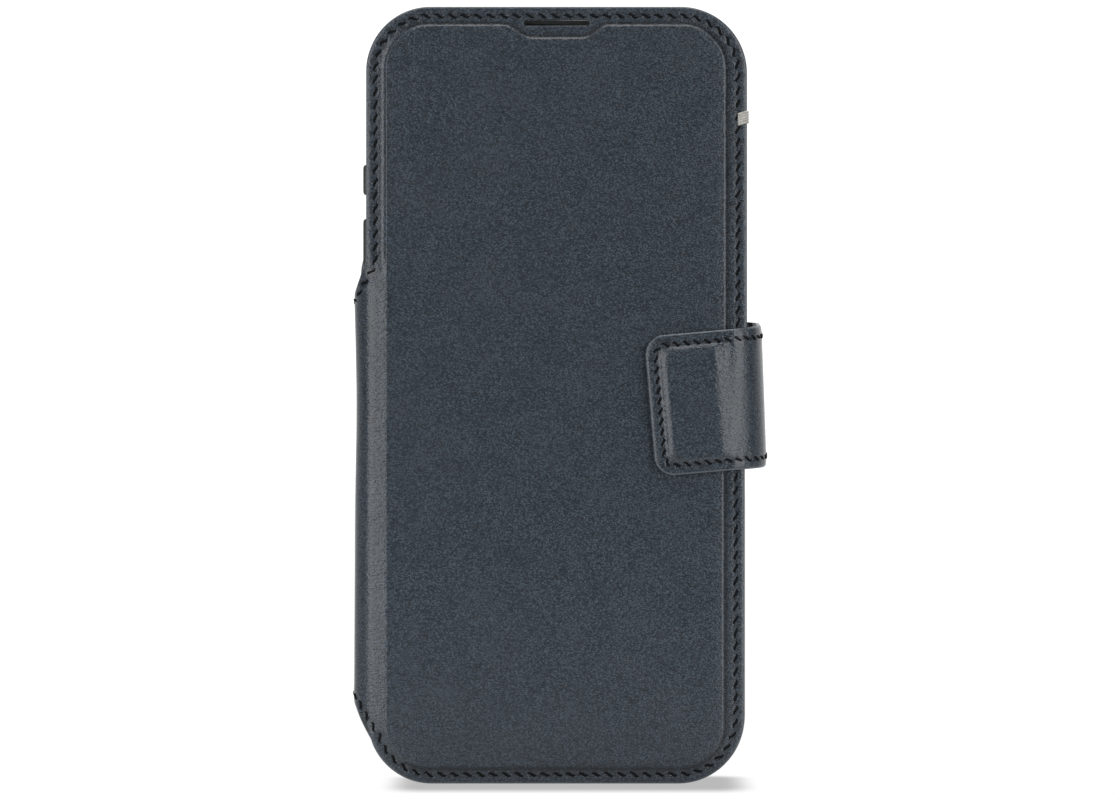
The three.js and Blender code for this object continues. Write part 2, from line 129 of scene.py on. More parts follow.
# Windows along a line: where each opens, over what length, where it closes, and over what length.
SPINE_ZONE = (8, 6, 109, 6)
CREASE_ZONE = (9, 8, 111, 9)
STRAP_CREASE = (-5.5, 1.5, 0.5, 2.5)

STITCH = {"inset": 2.0, "pitch": 2.8, "strap_pitch": 2.25, "share": 0.8, "radius": 0.27, "slant": 0.4}
# The slanted seat a stitch is drawn into: half its length and width, and the lean of its long axis.
SEAT = {"long": 0.95, "short": 0.36, "pit": 0.1}
LEAN_COS, LEAN_SIN = math.cos(math.radians(33)), math.sin(math.radians(33))
STEP = 0.1

# Strap, drawn unrolled: p runs along it towards the fold, q across it.
STRAP_TILT = math.radians(5)
STRAP_LEAN = math.tan(math.radians(2.1))
STRAP = {"width": 30.5, "tip": 18.3, "corner": 4.3, "plane": -10.65, "outer": 44.1, "pivot_z": 83.33}
STRAP_ROLL = 6.9
# The strap dips this far past the start of its roll, and this share of its tilt is taken out on the roll.
STRAP_DIP = 0.35
STRAP_LEVEL = 0.3
STRAP_START = STRAP["outer"] - STRAP_ROLL
STRAP_BACK_PLANE = 10.6
STRAP_BACK_ROLL = 3.4
STRAP_BACK_START = STRAP["outer"] - STRAP_BACK_ROLL
STRAP_LEATHER = 1.15
STRAP_LINING = 0.75
STRAP_GLUE = 0.1
STRAP_MIDDLE = 0.55
STRAP_TAIL = 1.8
STRAP_INSET = 2.2
PAD = {"p": -8.75, "q": -0.2, "length": 10.9, "width": 23.2, "rise": 0.7, "ramp": 1.4, "run": 3.5,
       "corner": 1.8}


# ---- flat geometry
def smooth(t):
    t = np.clip(t, 0, 1)
    return t * t * (3 - 2 * t)


def mix(a, b, share):
    return a + (b - a) * share


def window(value, opens, opening, closes, closing):
    """A share that is 1 inside a range and 0 outside it."""
    return smooth((value - opens) / opening) * (1 - smooth((value - closes) / closing))


def resampled(points, step, closed):
    """Points a step apart along a line."""
    if closed:
        points = np.vstack([points, points[:1]])
    gaps = np.linalg.norm(np.diff(points, axis=0), axis=1)
    along = np.concatenate([[0], np.cumsum(gaps)])
    where = np.linspace(0, along[-1], max(4, round(along[-1] / step)) + 1)
    if closed:
        where = where[:-1]
    return np.stack([np.interp(where, along, points[:, k]) for k in (0, 1)], 1)


def rounded_points(corners, closed):
    """A polygon whose corners (x, z, radius) are arcs."""
    points = []
    count = len(corners)
    for i, (x, z, radius) in enumerate(corners):
        here = np.array((x, z), float)
        if radius == 0 or (not closed and i in (0, count - 1)):
            points.append(here)
            continue
        to_last = np.array(corners[i - 1][:2]) - here
        to_next = np.array(corners[(i + 1) % count][:2]) - here
        to_last = to_last / np.linalg.norm(to_last)
        to_next = to_next / np.linalg.norm(to_next)
        half = 0.5 * math.acos(np.clip(to_last @ to_next, -1, 1))
        bisector = to_last + to_next
        middle = here + bisector / np.linalg.norm(bisector) * radius / math.sin(half)
        first = here + to_last * radius / math.tan(half) - middle
        turn = math.pi - 2 * half
        side = np.sign(first[1] * to_last[0] - first[0] * to_last[1])
        for share in np.linspace(0, 1, 2 + int(radius * turn / STEP)):
            c, s = math.cos(side * turn * share), math.sin(side * turn * share)
            points.append(middle + np.array((first[0] * c - first[1] * s, first[0] * s + first[1] * c)))
    return np.array(points)


def inset_corners(corners, inset, kept=()):
    """The polygon with its edges moved to the left of its direction by inset, apart from the kept edges."""
    count = len(corners)
    lines = []
    for i in range(count):
        start = np.array(corners[i][:2], float)
        along = np.array(corners[(i + 1) % count][:2], float) - start
        along /= np.linalg.norm(along)
        normal = np.array((-along[1], along[0]))
        lines.append((start + normal * (0 if i in kept else inset), along))
    moved = []
    for i, (_, _, radius) in enumerate(corners):
        (p, d), (q, e) = lines[i - 1], lines[i]
        reach = np.linalg.solve(np.stack([d, -e], 1), q - p)[0]
        left_turn = d[0] * e[1] - d[1] * e[0] > 0
        new_radius = radius - inset if left_turn else radius + inset
        moved.append((*(p + reach * d), 0 if radius == 0 else max(0.3, new_radius)))
    return moved


class Path:
    """A line on the flat leather, as points a short step apart, with normals to the left of its run."""

    pitch = STITCH["pitch"]

    def __init__(self, points, closed=True):
        self.points = resampled(np.asarray(points, float), STEP, closed)
        ahead = np.roll(self.points, -1, 0)
        behind = np.roll(self.points, 1, 0)
        if not closed:
            ahead[-1] = self.points[-1]
            behind[0] = self.points[0]
        self.tangents = ahead - behind
        self.tangents /= np.linalg.norm(self.tangents, axis=1)[:, None]
        self.normals = np.stack([-self.tangents[:, 1], self.tangents[:, 0]], 1)
        gaps = np.linalg.norm(np.diff(self.points, axis=0), axis=1)
        self.along = np.concatenate([[0], np.cumsum(gaps)])
        self.length = self.along[-1]
        self.tree = KDTree(len(self.points))
        for i, (x, z) in enumerate(self.points):
            self.tree.insert((x, z, 0), i)
        self.tree.balance()

    def measure(self, points):
        """Each point's distance to the left of the line, and its place along it."""
        found = np.array([self.tree.find((x, z, 0))[1] for x, z in points])
        gap = points - self.points[found]
        across = (gap * self.normals[found]).sum(1)
        return across, self.along[found] + (gap * self.tangents[found]).sum(1)

    def distance(self, points):
        return np.array([self.tree.find((x, z, 0))[2] for x, z in points])

    def ring(self, distance, step):
        """Points beside the line, left out where they would crowd inside a bend."""
        beside = (self.points + distance * self.normals)[:: max(1, round(step / STEP))]
        return beside[self.distance(beside) > abs(distance) - 0.02]

    def at(self, along):
        """Points and left-hand normals at places along the line."""
        point = np.stack([np.interp(along, self.along, self.points[:, k]) for k in (0, 1)], 1)
        normal = np.stack([np.interp(along, self.along, self.normals[:, k]) for k in (0, 1)], 1)
        return point, normal / np.linalg.norm(normal, axis=1)[:, None]


def rectangle(left, bottom, right, top, radius):
    return [(left, bottom, radius), (right, bottom, radius), (right, top, radius), (left, top, radius)]


def box_outline(low, high, inset, radius):
    """The rounded outline of a node's box as seen from the front."""
    return closed_path(rectangle(low[0] + inset, low[2] + inset, high[0] - inset, high[2] - inset, radius))


def closed_path(corners):
    return Path(rounded_points(corners, True))


def open_path(corners):
    return Path(rounded_points(corners, False), False)


def hex_grid(low, high, spacing):
    rows = []
    for k, z in enumerate(np.arange(low[1], high[1], spacing * 0.866)):
        across = np.arange(low[0] + (k % 2) * spacing / 2, high[0], spacing)
        rows.append(np.stack([across, np.full_like(across, z)], 1))
    return np.vstack(rows)


def fill_points(outline, holes, guides, spacing, fine):
    """Points inside the outline: those beside the guide lines, and a grid between them."""
    rings = [path.ring(d, step) for path, distances, step in guides for d in distances]
    beside = np.vstack(rings) if rings else np.zeros((0, 2))
    grids = [hex_grid(outline.points.min(0), outline.points.max(0), spacing)]
    if fine:
        low, high, fine_spacing = fine
        inside = np.all((grids[0] > low) & (grids[0] < high), axis=1)
        grids = [grids[0][~inside], hex_grid(low, high, fine_spacing)]
    kept = [beside]
    near = KDTree(max(1, len(beside)))
    for i, (x, z) in enumerate(beside):
        near.insert((x, z, 0), i)
    near.balance()
    for grid, gap in zip(grids, (spacing, fine[2] if fine else spacing)):
        if len(beside):
            far = np.array([near.find((x, z, 0))[2] > 0.6 * gap for x, z in grid])
            grid = grid[far]
        kept.append(grid)
    points = np.vstack(kept)
    points = points[outline.measure(points)[0] > 0.01]
    for hole in holes:
        points = points[hole.measure(points)[0] < -0.01]
    return points


def inside_polygon(points, loop):
    """Whether each point lies inside a closed loop, by counting the edges to its right."""
    after = np.roll(loop, -1, 0)
    x, z = points[:, :1], points[:, 1:]
    spans = (loop[:, 1] > z) != (after[:, 1] > z)
    rise = np.where(after[:, 1] == loop[:, 1], 1, after[:, 1] - loop[:, 1])
    crossing = loop[:, 0] + (z - loop[:, 1]) * (after[:, 0] - loop[:, 0]) / rise
    return (spans & (crossing > x)).sum(1) % 2 == 1


def triangulated(loops, points):
    """Triangles inside the first loop and outside the others, and the point numbers of each loop."""
    every = np.vstack([*loops, points])
    edges = []
    first = 0
    for loop in loops:
        edges += [(first + i, first + (i + 1) % len(loop)) for i in range(len(loop))]
        first += len(loop)
    made, _, faces, origin, _, _ = delaunay_2d_cdt([Vector(p) for p in every], edges, [], 1, 1e-5, True)
    number = {old: new for new, olds in enumerate(origin) for old in olds}
    rims = []
    first = 0
    for loop in loops:
        rims.append([number[first + i] for i in range(len(loop))])
        first += len(loop)
    points = np.array([tuple(v) for v in made])
    for rim, loop, wanted in zip(rims, loops, [True] + [False] * (len(loops) - 1)):
        on_rim = set(rim)
        doubtful = [i for i, f in enumerate(faces) if on_rim.issuperset(f)]
        if doubtful:
            middles = np.array([points[list(faces[i])].mean(0) for i in doubtful])
            held = inside_polygon(middles, loop)
            dropped = {i for i, within in zip(doubtful, held) if within != wanted}
            faces = [f for i, f in enumerate(faces) if i not in dropped]
    return points, faces, rims


# ---- meshes
def add_object(name, data):
    obj = bpy.data.objects.new(name, data)
    bpy.context.scene.collection.objects.link(obj)
    return obj


def mesh_object(name, vertices, faces, notes=None, sharp=40):
    """A closed mesh from millimetres, with smooth shading up to a sharp angle and notes as attributes."""
    mesh = bpy.data.meshes.new(name)
    mesh.from_pydata((np.asarray(vertices) * MM).tolist(), [], faces)
    for key, values in (notes or {}).items():
        values = np.asarray(values, np.float32)
        kind = "FLOAT" if values.ndim == 1 else "FLOAT_VECTOR"
        attribute = mesh.attributes.new(key, kind, "POINT")
        attribute.data.foreach_set("value" if values.ndim == 1 else "vector", values.ravel())
    work = bmesh.new()
    work.from_mesh(mesh)
    bmesh.ops.recalc_face_normals(work, faces=work.faces)
    work.to_mesh(mesh)
    work.free()
    mesh.shade_smooth()
    mesh.set_sharp_from_angle(angle=math.radians(sharp))
    return add_object(name, mesh)


def sheet(name, outline, front, back, place, guides=(), holes=(), spacing=2.4, fine=None, step=0.5,
          notes=None):
    """A sheet between two height functions over a flat region, closed round its rims and put in place."""
    edge_guides = [(outline, (EDGE_ROUND, 0.7 * EDGE_ROUND), step)]
    stride = max(1, round(step / STEP))
    loops = [outline.points[::stride]] + [hole.points[::stride] for hole in holes]
    top = fill_points(outline, holes, guides, spacing, fine)
    under = fill_points(outline, holes, edge_guides, 2 * spacing, None)
    top_points, top_faces, top_rims = triangulated(loops, top)
    low_points, low_faces, low_rims = triangulated(loops, under)
    first = len(top_points)
    flat = np.vstack([
        np.column_stack([top_points, front(top_points)]),
        np.column_stack([low_points, back(low_points)]),
    ])
    faces = [tuple(f) for f in top_faces]
    faces += [tuple(first + i for i in reversed(f)) for f in low_faces]
    for upper, lower in zip(top_rims, low_rims):
        for i in range(len(upper)):
            j = (i + 1) % len(upper)
            faces.append((upper[i], first + lower[i], first + lower[j], upper[j]))
    edge = np.clip(outline.distance(flat[:, :2]), 0, FAR)
    edge[first:] = 0
    made = notes(flat[:, :2]) if notes else {}
    return mesh_object(name, place(flat), faces, {"flat": flat, "edge": edge, **made})


def rounding(distance, radius=EDGE_ROUND):
    """How far a rounded rim drops below its face, at a distance from the edge."""
    inside = radius - np.clip(distance, 0, radius)
    return radius - np.sqrt(np.maximum(radius**2 - inside**2, 0))


def level(height):
    """A face that is flat at one height."""
    return lambda points: np.full(len(points), height)


def fall(edge, depth, width):
    return depth * (1 - np.clip(edge / width, 0, 1)) ** 2


def unevenness(points, layers):
    return sum(height * waves(points, wavelength, seed) for height, wavelength, seed in layers)


def waves(points, wavelength, seed):
    """Seven crossing waves whose mean stays between -1 and 1."""
    draw = np.random.default_rng(seed)
    total = np.zeros(len(points))
    for _ in range(7):
        angle = draw.uniform(0, 2 * math.pi)
        size = wavelength * draw.uniform(0.7, 1.6)
        phase = draw.uniform(0, 2 * math.pi)
        total += np.sin(2 * math.pi * (points @ (math.cos(angle), math.sin(angle))) / size + phase)
    return total / 7


def roll_place(start, radius, plane, side, face, shift, strength=None):
    """Bends flat leather round a quarter roll: side is the X direction it leaves in, face its outer side."""

    def place(flat):
        u, z, w = flat.T
        past = side * (u - start)
        turn = np.clip(past / radius, 0, math.pi / 2)
        beyond = np.maximum(past - radius * math.pi / 2, 0)
        x = start + side * (np.minimum(past, 0) + (radius + w) * np.sin(turn))
        y = plane - face * radius + face * (radius + w) * np.cos(turn) - face * beyond
        if strength:
            share = strength(z)
            x = mix(u, x, share)
            y = mix(plane + face * w, y, share)
        return np.column_stack([x - side * shift(z) * np.sin(turn) ** 2, y, z])

    return place


def flat_place(plane, face):
    def place(flat):
        return np.column_stack([flat[:, 0], plane + face * flat[:, 2], flat[:, 1]])

    return place


# ---- stitches
def add_tube(vertices, faces, rings):
    """Adds a closed tube that runs through rings of points."""
    base, sides = len(vertices), len(rings[0])
    last = base + (len(rings) - 1) * sides
    vertices.extend(point for ring in rings for point in ring)
    for first in range(base, last, sides):
        for k in range(sides):
            m = (k + 1) % sides
            faces.append((first + k, first + m, first + sides + m, first + sides + k))
    faces.append(tuple(range(base, base + sides)))
    faces.append(tuple(reversed(range(last, last + sides))))


def stitches(name, seam, height, place, keep=None, radius=STITCH["radius"], seed=1):
    """Stitches along a seam, each a short bowed tube whose ends go down into the leather."""
    sides, sections = 6, 9
    draw = np.random.default_rng(seed)
    bend = np.linspace(-1, 1, sections)
    turns = np.arange(sides) * 2 * math.pi / sides
    vertices = []
    faces = []
    for middle in np.arange(seam.pitch / 2, seam.length - 0.4 * seam.pitch, seam.pitch):
        slant = STITCH["slant"] * draw.uniform(0.6, 1.4)
        length = STITCH["share"] * seam.pitch * draw.uniform(0.95, 1.05)
        lift = draw.uniform(-0.02, 0.03)
        where = np.clip(middle + bend * length / 2, 0, seam.length)
        points, normals = seam.at(where)
        if keep is not None and not keep(points[sections // 2]):
            continue
        points = points - normals * (slant * np.sin(math.pi * bend) * 0.5 + 0.5 * slant * bend)[:, None]
        top = height(points) + 0.5 * radius + lift - 0.25 * bend**4
        thick = radius * (1 - 0.6 * bend**2)
        rings = [[(*(point + normal * width * math.cos(turn)), crest + 0.8 * width * math.sin(turn))
                  for turn in turns] for point, normal, width, crest in zip(points, normals, thick, top)]
        add_tube(vertices, faces, rings)
    flat = np.array(vertices)
    return mesh_object(name, place(flat), faces, {"flat": flat}, sharp=60)


def seam_groove(across, along, pitch=STITCH["pitch"]):
    """The leather pulled down along a seam, most under each slanted stitch."""
    from_middle = along - pitch * (np.floor(along / pitch) + 0.5)
    long_way = (from_middle * LEAN_COS - across * LEAN_SIN) / SEAT["long"]
    short_way = (from_middle * LEAN_SIN + across * LEAN_COS) / SEAT["short"]
    pit = SEAT["pit"] * np.exp(-(long_way**2) - (0.7 * short_way) ** 2)
    groove = 0.02 * np.exp(-((across / 0.6) ** 2))
    swell = 0.02 * np.exp(-(((np.abs(across) - 0.95) / 0.4) ** 2))
    return swell * (1 + np.cos(2 * math.pi * along / pitch)) - groove - pit


def near_seam(points, seam):
    """Each point's place along the seam counted in stitches, and its distance to the left of it."""
    across, along = seam.measure(points)
    far = seam.distance(points) > 4
    return np.column_stack([along / seam.pitch, np.where(far, FAR, across), np.zeros(len(points))])


def leather_notes(points, rim, seam, crease):
    """What the leather material needs to know at each point."""
    return {"edge": np.clip(rim.distance(points), 0, FAR), "crease": crease,
            "seam": near_seam(points, seam), "sewn": np.ones(len(points))}


# ---- materials
class Graph:
    """Short calls for building the nodes of a material or a world."""

    def __init__(self, owner, shader="Principled BSDF"):
        owner.use_nodes = True
        self.owner = owner
        self.tree = owner.node_tree
        self.shader = self.tree.nodes[shader]

    def node(self, kind, inputs=None, **settings):
        made = self.tree.nodes.new(kind)
        for key, value in settings.items():
            setattr(made, key, value)
        for key, value in (inputs or {}).items():
            self.put(made.inputs[key], value)
        return made

    def put(self, socket, value):
        if isinstance(value, bpy.types.NodeSocket):
            self.tree.links.new(value, socket)
        else:
            socket.default_value = value

    def math(self, operation, a, b=0.0, c=0.0):
        return self.node("ShaderNodeMath", {0: a, 1: b, 2: c}, operation=operation).outputs[0]

    def attribute(self, name, output="Vector"):
        return self.node("ShaderNodeAttribute", attribute_name=name).outputs[output]

    def scaled(self, vector, scale):
        return self.node("ShaderNodeVectorMath", {0: vector, 1: scale}, operation="MULTIPLY").outputs[0]

    def noise(self, vector, scale, detail=2.0, roughness=0.5):
        made = self.node("ShaderNodeTexNoise", {"Vector": vector, "Scale": scale, "Detail": detail,
                                                "Roughness": roughness})
        return made.outputs["Fac"]

    def remap(self, value, low, high, to_low=0.0, to_high=1.0, kind="SMOOTHSTEP"):
        made = self.node("ShaderNodeMapRange", {"Value": value, "From Min": low, "From Max": high,
                                                "To Min": to_low, "To Max": to_high},
                         interpolation_type=kind)
        return made.outputs["Result"]

    def blend(self, share, a, b):
        made = self.node("ShaderNodeMix", data_type="RGBA")
        for key, value in (("Factor", share), ("A", a), ("B", b)):
            self.put(made.inputs[key], value)
        return made.outputs["Result"]

    def bump(self, height, distance):
        made = self.node("ShaderNodeBump", {"Height": height, "Distance": distance, "Strength": 1.0})
        return made.outputs["Normal"]

    def finish(self, **inputs):
        for key, value in inputs.items():
            self.put(self.shader.inputs[key.replace("_", " ")], value)
        return self.owner


def material_graph(name):
    return Graph(bpy.data.materials.new(name))


def rgb(red, green, blue):
    """A colour given as it looks on screen, from 0 to 255."""
    linear = [((c / 255 + 0.055) / 1.055) ** 2.4 if c > 10 else c / 255 / 12.92 for c in (red, green, blue)]
    return (*linear, 1.0)


GRAIN_DEPTH = 0.00007
# In these tones, rgb(104, 112, 120) is a lighter line just inside each rim: part edge wear, part painted
# highlight of the rounded rim.
TONES = {
    "grain_low": rgb(28, 34, 40), "grain_high": rgb(53, 63, 73), "broad": rgb(34, 42, 50),
    # rgb(14, 17, 21) below is painted shade for the crease along the panel's foot.
    "cloud": rgb(34, 41, 49), "pressed": rgb(14, 17, 21), "rim_wear_and_highlight": rgb(104, 112, 120),
    # rgb(4, 5, 6) below is painted shadow in the stitch holes.
    "painted": rgb(20, 23, 27), "seam": rgb(18, 22, 27), "seat": rgb(4, 5, 6),
}


def stitch_seats(g):
    """Shares for the painted shadow in the slanted seat under each stitch, and for the leather beside the
    seam.
    """
    sewn = g.attribute("sewn", "Fac")
    seam = g.node("ShaderNodeSeparateXYZ", {"Vector": g.attribute("seam")})
    phase = g.math("SUBTRACT", g.math("FRACT", seam.outputs["X"]), 0.5)
    from_middle = g.math("MULTIPLY", phase, STITCH["pitch"])
    across = seam.outputs["Y"]
    long_way = g.math("MULTIPLY_ADD", across, -LEAN_SIN, g.math("MULTIPLY", from_middle, LEAN_COS))
    short_way = g.math("MULTIPLY_ADD", across, LEAN_COS, g.math("MULTIPLY", from_middle, LEAN_SIN))
    long_share = g.math("POWER", g.math("DIVIDE", long_way, SEAT["long"]), 2.0)
    short_share = g.math("POWER", g.math("DIVIDE", short_way, SEAT["short"]), 2.0)
    # Painted shadow: a near-black slanted ellipse round each stitch where it dives into the leather.
    seat = g.math("MULTIPLY", g.remap(g.math("ADD", long_share, short_share), 1.3, 0.7), sewn)
    beside = g.math("MULTIPLY", g.remap(g.math("ABSOLUTE", across), 0.6, 0.25), sewn)
    return seat, g.math("MULTIPLY", beside, 0.2)


def leather_material():
    g = material_graph("leather")
    flat = g.attribute("flat")
    edge = g.attribute("edge", "Fac")
    crease = g.attribute("crease", "Fac")
    turned = g.node("ShaderNodeMapping", {"Vector": flat, "Location": (0, 0, 0.37), "Rotation": (0, 0, 0.55),
                                          "Scale": (2.9, 4.2, 0.0)})
    streaks = g.noise(turned.outputs["Vector"], 1.0, 0.6, 0.5)
    pebbles = g.node("ShaderNodeTexVoronoi", {"Vector": g.scaled(flat, (1.0, 1.0, 0.0)), "Scale": 2.0},
                     feature="SMOOTH_F1").outputs["Distance"]
    broad = g.noise(flat, 0.09, 3.0)
    cloud = g.noise(flat, 0.5, 2.0)
    wrinkled = g.noise(g.scaled(flat, (0.8, 2.2, 1.0)), 1.0, 1.0, 0.5)
    grain = g.math("MULTIPLY_ADD", pebbles, -0.3, streaks)
    relief = g.math("MULTIPLY_ADD", g.math("MULTIPLY", wrinkled, crease), 1.4, grain)

    seat, beside = stitch_seats(g)
    colour = g.blend(g.remap(grain, 0.22, 0.6), TONES["grain_low"], TONES["grain_high"])
    for share, tone in (
        (g.math("MULTIPLY", g.remap(broad, 0.35, 0.65), 0.07), "broad"),
        (g.math("MULTIPLY", g.remap(cloud, 0.35, 0.75), 0.04), "cloud"),
        # Painted shade darkening the crease along the panel's foot.
        (g.math("MULTIPLY", g.attribute("pressed", "Fac"), FOOT_SHADE["share"]), "pressed"),
        # A lighter line just inside each rim: part edge wear, part painted highlight of the rounded rim.
        (g.math("MULTIPLY", g.remap(edge, 0.5, 0.15), 0.35), "rim_wear_and_highlight"),
        (g.remap(edge, 0.1, 0.02), "painted"),
        (beside, "seam"),
        # Painted shadow in each stitch's hole.
        (seat, "seat"),
    ):
        colour = g.blend(share, colour, TONES[tone])

    roughness = g.remap(g.math("MULTIPLY_ADD", broad, 0.5, g.math("MULTIPLY", streaks, 0.5)),
                        0.3, 0.7, 0.22, 0.3)
    return g.finish(Base_Color=colour, Roughness=roughness, Normal=g.bump(relief, GRAIN_DEPTH),
                    Specular_IOR_Level=0.5, Sheen_Weight=0.06, Sheen_Roughness=0.5)


def lining_material():
    g = material_graph("microfibre")
    flat = g.attribute("flat")
    nap = g.noise(flat, 5.0, 4.0, 0.7)
    cloud = g.noise(flat, 0.15, 3.0)
    brushed = g.noise(g.scaled(flat, (3.0, 0.7, 1.0)), 1.0, 2.0)
    colour = g.blend(g.remap(nap, 0.3, 0.7), rgb(46, 50, 56), rgb(70, 75, 82))
    colour = g.blend(g.math("MULTIPLY", g.remap(cloud, 0.35, 0.7), 0.3), colour, rgb(58, 63, 69))
    relief = g.math("ADD", nap, g.math("MULTIPLY", brushed, 0.6))
    return g.finish(Base_Color=colour, Roughness=0.95, Normal=g.bump(relief, 0.00008),
                    Sheen_Weight=0.25, Sheen_Roughness=0.4, Specular_IOR_Level=0.2)


def thread_material(name, colour, shade):
    g = material_graph(name)
    flat = g.attribute("flat")
    twist = g.noise(g.scaled(flat, (6.0, 6.0, 6.0)), 1.0, 2.0)
    mixed = g.blend(g.remap(twist, 0.35, 0.65), shade, colour)
    return g.finish(Base_Color=mixed, Roughness=0.8, Specular_IOR_Level=0.1, Normal=g.bump(twist, 0.00005))


def plain_material(name, colour, shade, roughness, grain, relief, metallic=0.0):
    """Moulded, cast or press-formed stuff, textured by its place in the object."""
    g = material_graph(name)
    place = g.node("ShaderNodeTexCoord").outputs["Object"]
    spots = g.noise(place, grain, 3.0, 0.6)
    broad = g.noise(place, 60.0, 2.0)
    mixed = g.blend(g.remap(spots, 0.3, 0.7), shade, colour)
    rough = g.remap(broad, 0.3, 0.7, roughness - 0.06, roughness + 0.06)
    return g.finish(Base_Color=mixed, Roughness=rough, Metallic=metallic, Normal=g.bump(spots, relief))


LEATHER = leather_material()
MICROFIBRE = lining_material()
DARK_THREAD = thread_material("dark_thread", rgb(17, 20, 24), rgb(7, 8, 10))
PALE_THREAD = thread_material("pale_thread", rgb(186, 184, 178), rgb(138, 136, 132))
BOARD = plain_material("board", rgb(150, 140, 122), rgb(122, 113, 98), 0.9, 900.0, 0.00008)
STEEL = plain_material("magnet", rgb(176, 178, 182), rgb(146, 148, 152), 0.32, 1400.0, 0.00001, 1.0)
RUBBER = plain_material("bumper", rgb(34, 37, 38), rgb(25, 28, 29), 0.5, 2600.0, 0.00003)
PLASTIC = plain_material("shell", rgb(44, 47, 51), rgb(36, 39, 43), 0.42, 2200.0, 0.00002)
RING_METAL = plain_material("ring_metal", rgb(62, 66, 71), rgb(52, 56, 60), 0.36, 3000.0, 0.00001, 0.9)


def dress(obj, material, bodies, replaced=(), start=None, end=None):
    """Gives a piece its material and that slot, and ties it to one body; a piece between two bodies only has
    its transform baked into its mesh.
    """
    obj.data.materials.append(material)
    # Slots have the materials' names, to which Blender adds a number.
    if replaced:
        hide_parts(*replaced)
    if len(bodies) == 2:
        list(bodies)
        tuple(v * MM for v in start)
        tuple(v * MM for v in end)
        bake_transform(obj)
    else:
        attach(obj, bodies[0])
    return obj


# ---- the folio's cover and back
def folio_corners(top_corners):
    """The flat outline of a cover and half of the spine, from the cut in the spine round to it again."""
    return [
        (CUT, SPINE_BOTTOM, 0),
        (SHOULDER, SPINE_BOTTOM, 4),
        (LEFT + 0.95, 9.6, 1.2),
        (LEFT + 4.6, 0, 13.9),
        (RIGHT, 0, 14.6),
        *top_corners,
        (CUT, SPINE_TOP, 0),
    ]


COVER_TOP = [(RIGHT, HEIGHT, 14.4), (LEFT, HEIGHT, 13.9), (LEFT, FREE_FROM, 3), (SHOULDER, SPINE_TOP, 3)]
BACK_TOP = [(RIGHT, BACK_HIGH[2], 6), (LEFT, BACK_HIGH[2], 5), (SHOULDER, SPINE_TOP, 4)]


def panel_corners():
    left, right = LEFT + PANEL["left"], RIGHT - PANEL["right"]
    bottom, top = PANEL["bottom"], HEIGHT - PANEL["top"]
    corner = PANEL["corner"]
    floor = top - NOTCH["depth"]
    return [
        (left, bottom, corner),
        (right, bottom, corner),
        (right, top, corner),
        (CENTRE + NOTCH["top"] / 2, top, NOTCH["outer_bend"]),
        (CENTRE + NOTCH["floor"] / 2, floor, NOTCH["inner_bend"]),
        (CENTRE - NOTCH["floor"] / 2, floor, NOTCH["inner_bend"]),
        (CENTRE - NOTCH["top"] / 2, top, NOTCH["outer_bend"]),
        (left, top, corner),
    ]


def slot_corners():
    middle = HEIGHT - SLOT["below_top"]
    half_width, half_height = SLOT["width"] / 2, SLOT["height"] / 2
    return rectangle(CENTRE - half_width, middle - half_height, CENTRE + half_width, middle + half_height,
                     SLOT["corner"])


def roll_share(z):
    """The cover lies flat above the spine and rolls into it below."""
    return 1 - smooth((z - FLAT_ABOVE["from"]) / FLAT_ABOVE["over"])


def spine_hollow(z):
    """How far the spine's outer face runs in: most above its middle, and least at its ends."""
    share = np.clip((z - SPINE_BOTTOM) / (SPINE_TOP - SPINE_BOTTOM), 0, 1)
    deepest = HOLLOW["deepest"] * np.exp(-(((share - HOLLOW["place"]) / HOLLOW["reach"]) ** 2))
    return deepest + HOLLOW["bow"] * np.sin(math.pi * share) - HOLLOW["ends"]


class Folio:
    """The shared lines of a cover: its outline, its edge without the cut, and its seam."""

    def __init__(self, top_corners):
        self.corners = folio_corners(top_corners)
        self.cut_edge = len(self.corners) - 1
        self.outline = closed_path(self.corners)
        self.rim = open_path(self.corners)
        self.seam = open_path(inset_corners(self.corners, STITCH["inset"], [self.cut_edge]))

    def lining(self):
        return closed_path(inset_corners(self.corners, LINING_INSET, [self.cut_edge]))

    def notes(self, points):
        across_roll = np.abs(points[:, 0] - (ROLL_START + 0.8))
        crease = window(points[:, 1], *CREASE_ZONE) * (1 - smooth((across_roll - 1.6) / 1.6))
        return leather_notes(points, self.rim, self.seam, crease)


def cover_dip(points):
    """The slope beside the panel goes on into the roll and flattens out there."""
    share = np.clip((ROLL_START - points[:, 0]) / 4.6, 0, 1)
    return SPINE_DIP * (1 - (1 - share) ** 2) * roll_share(points[:, 1])


def back_dip(points):
    return SPINE_DIP * smooth((ROLL_START - points[:, 0]) / 5)


def leaning(place):
    """The cover's free edge runs in a little below the strap."""

    def placed(flat):
        share = np.clip((flat[:, 0] - CENTRE) / (RIGHT - CENTRE), 0, 1) * smooth((100 - flat[:, 1]) / 35)
        return place(np.column_stack([flat[:, 0] - FREE_EDGE_LEAN * share, flat[:, 1], flat[:, 2]]))

    return placed


def behind_hem(points, hem, dip):
    """The height behind a turned-in hem, which thins from the cover into the spine."""
    return -mix(hem, SPINE_THICKNESS, smooth((ROLL_START - points[:, 0]) / 5)) - dip(points)


def into_spine(plane, face):
    """Where the leather begins to follow the spine, and where it wholly does."""
    return {"start": (ROLL_START, plane, HEIGHT / 2), "end": (SPINE_LOW[0], plane - face * ROLL, HEIGHT / 2)}


def folio_lining(name, folio, hem, dip, place, holes=()):
    """The lining glued behind a hem."""
    outline = folio.lining()

    def front(points):
        return behind_hem(points, hem, dip) - GLUE

    def back(points):
        return front(points) - LINING + rounding(outline.distance(points), 0.2)

    return sheet(name, outline, front, back, place, [(outline, (0.2, 0.5), 1.0)], holes, 3.5, step=1.0)


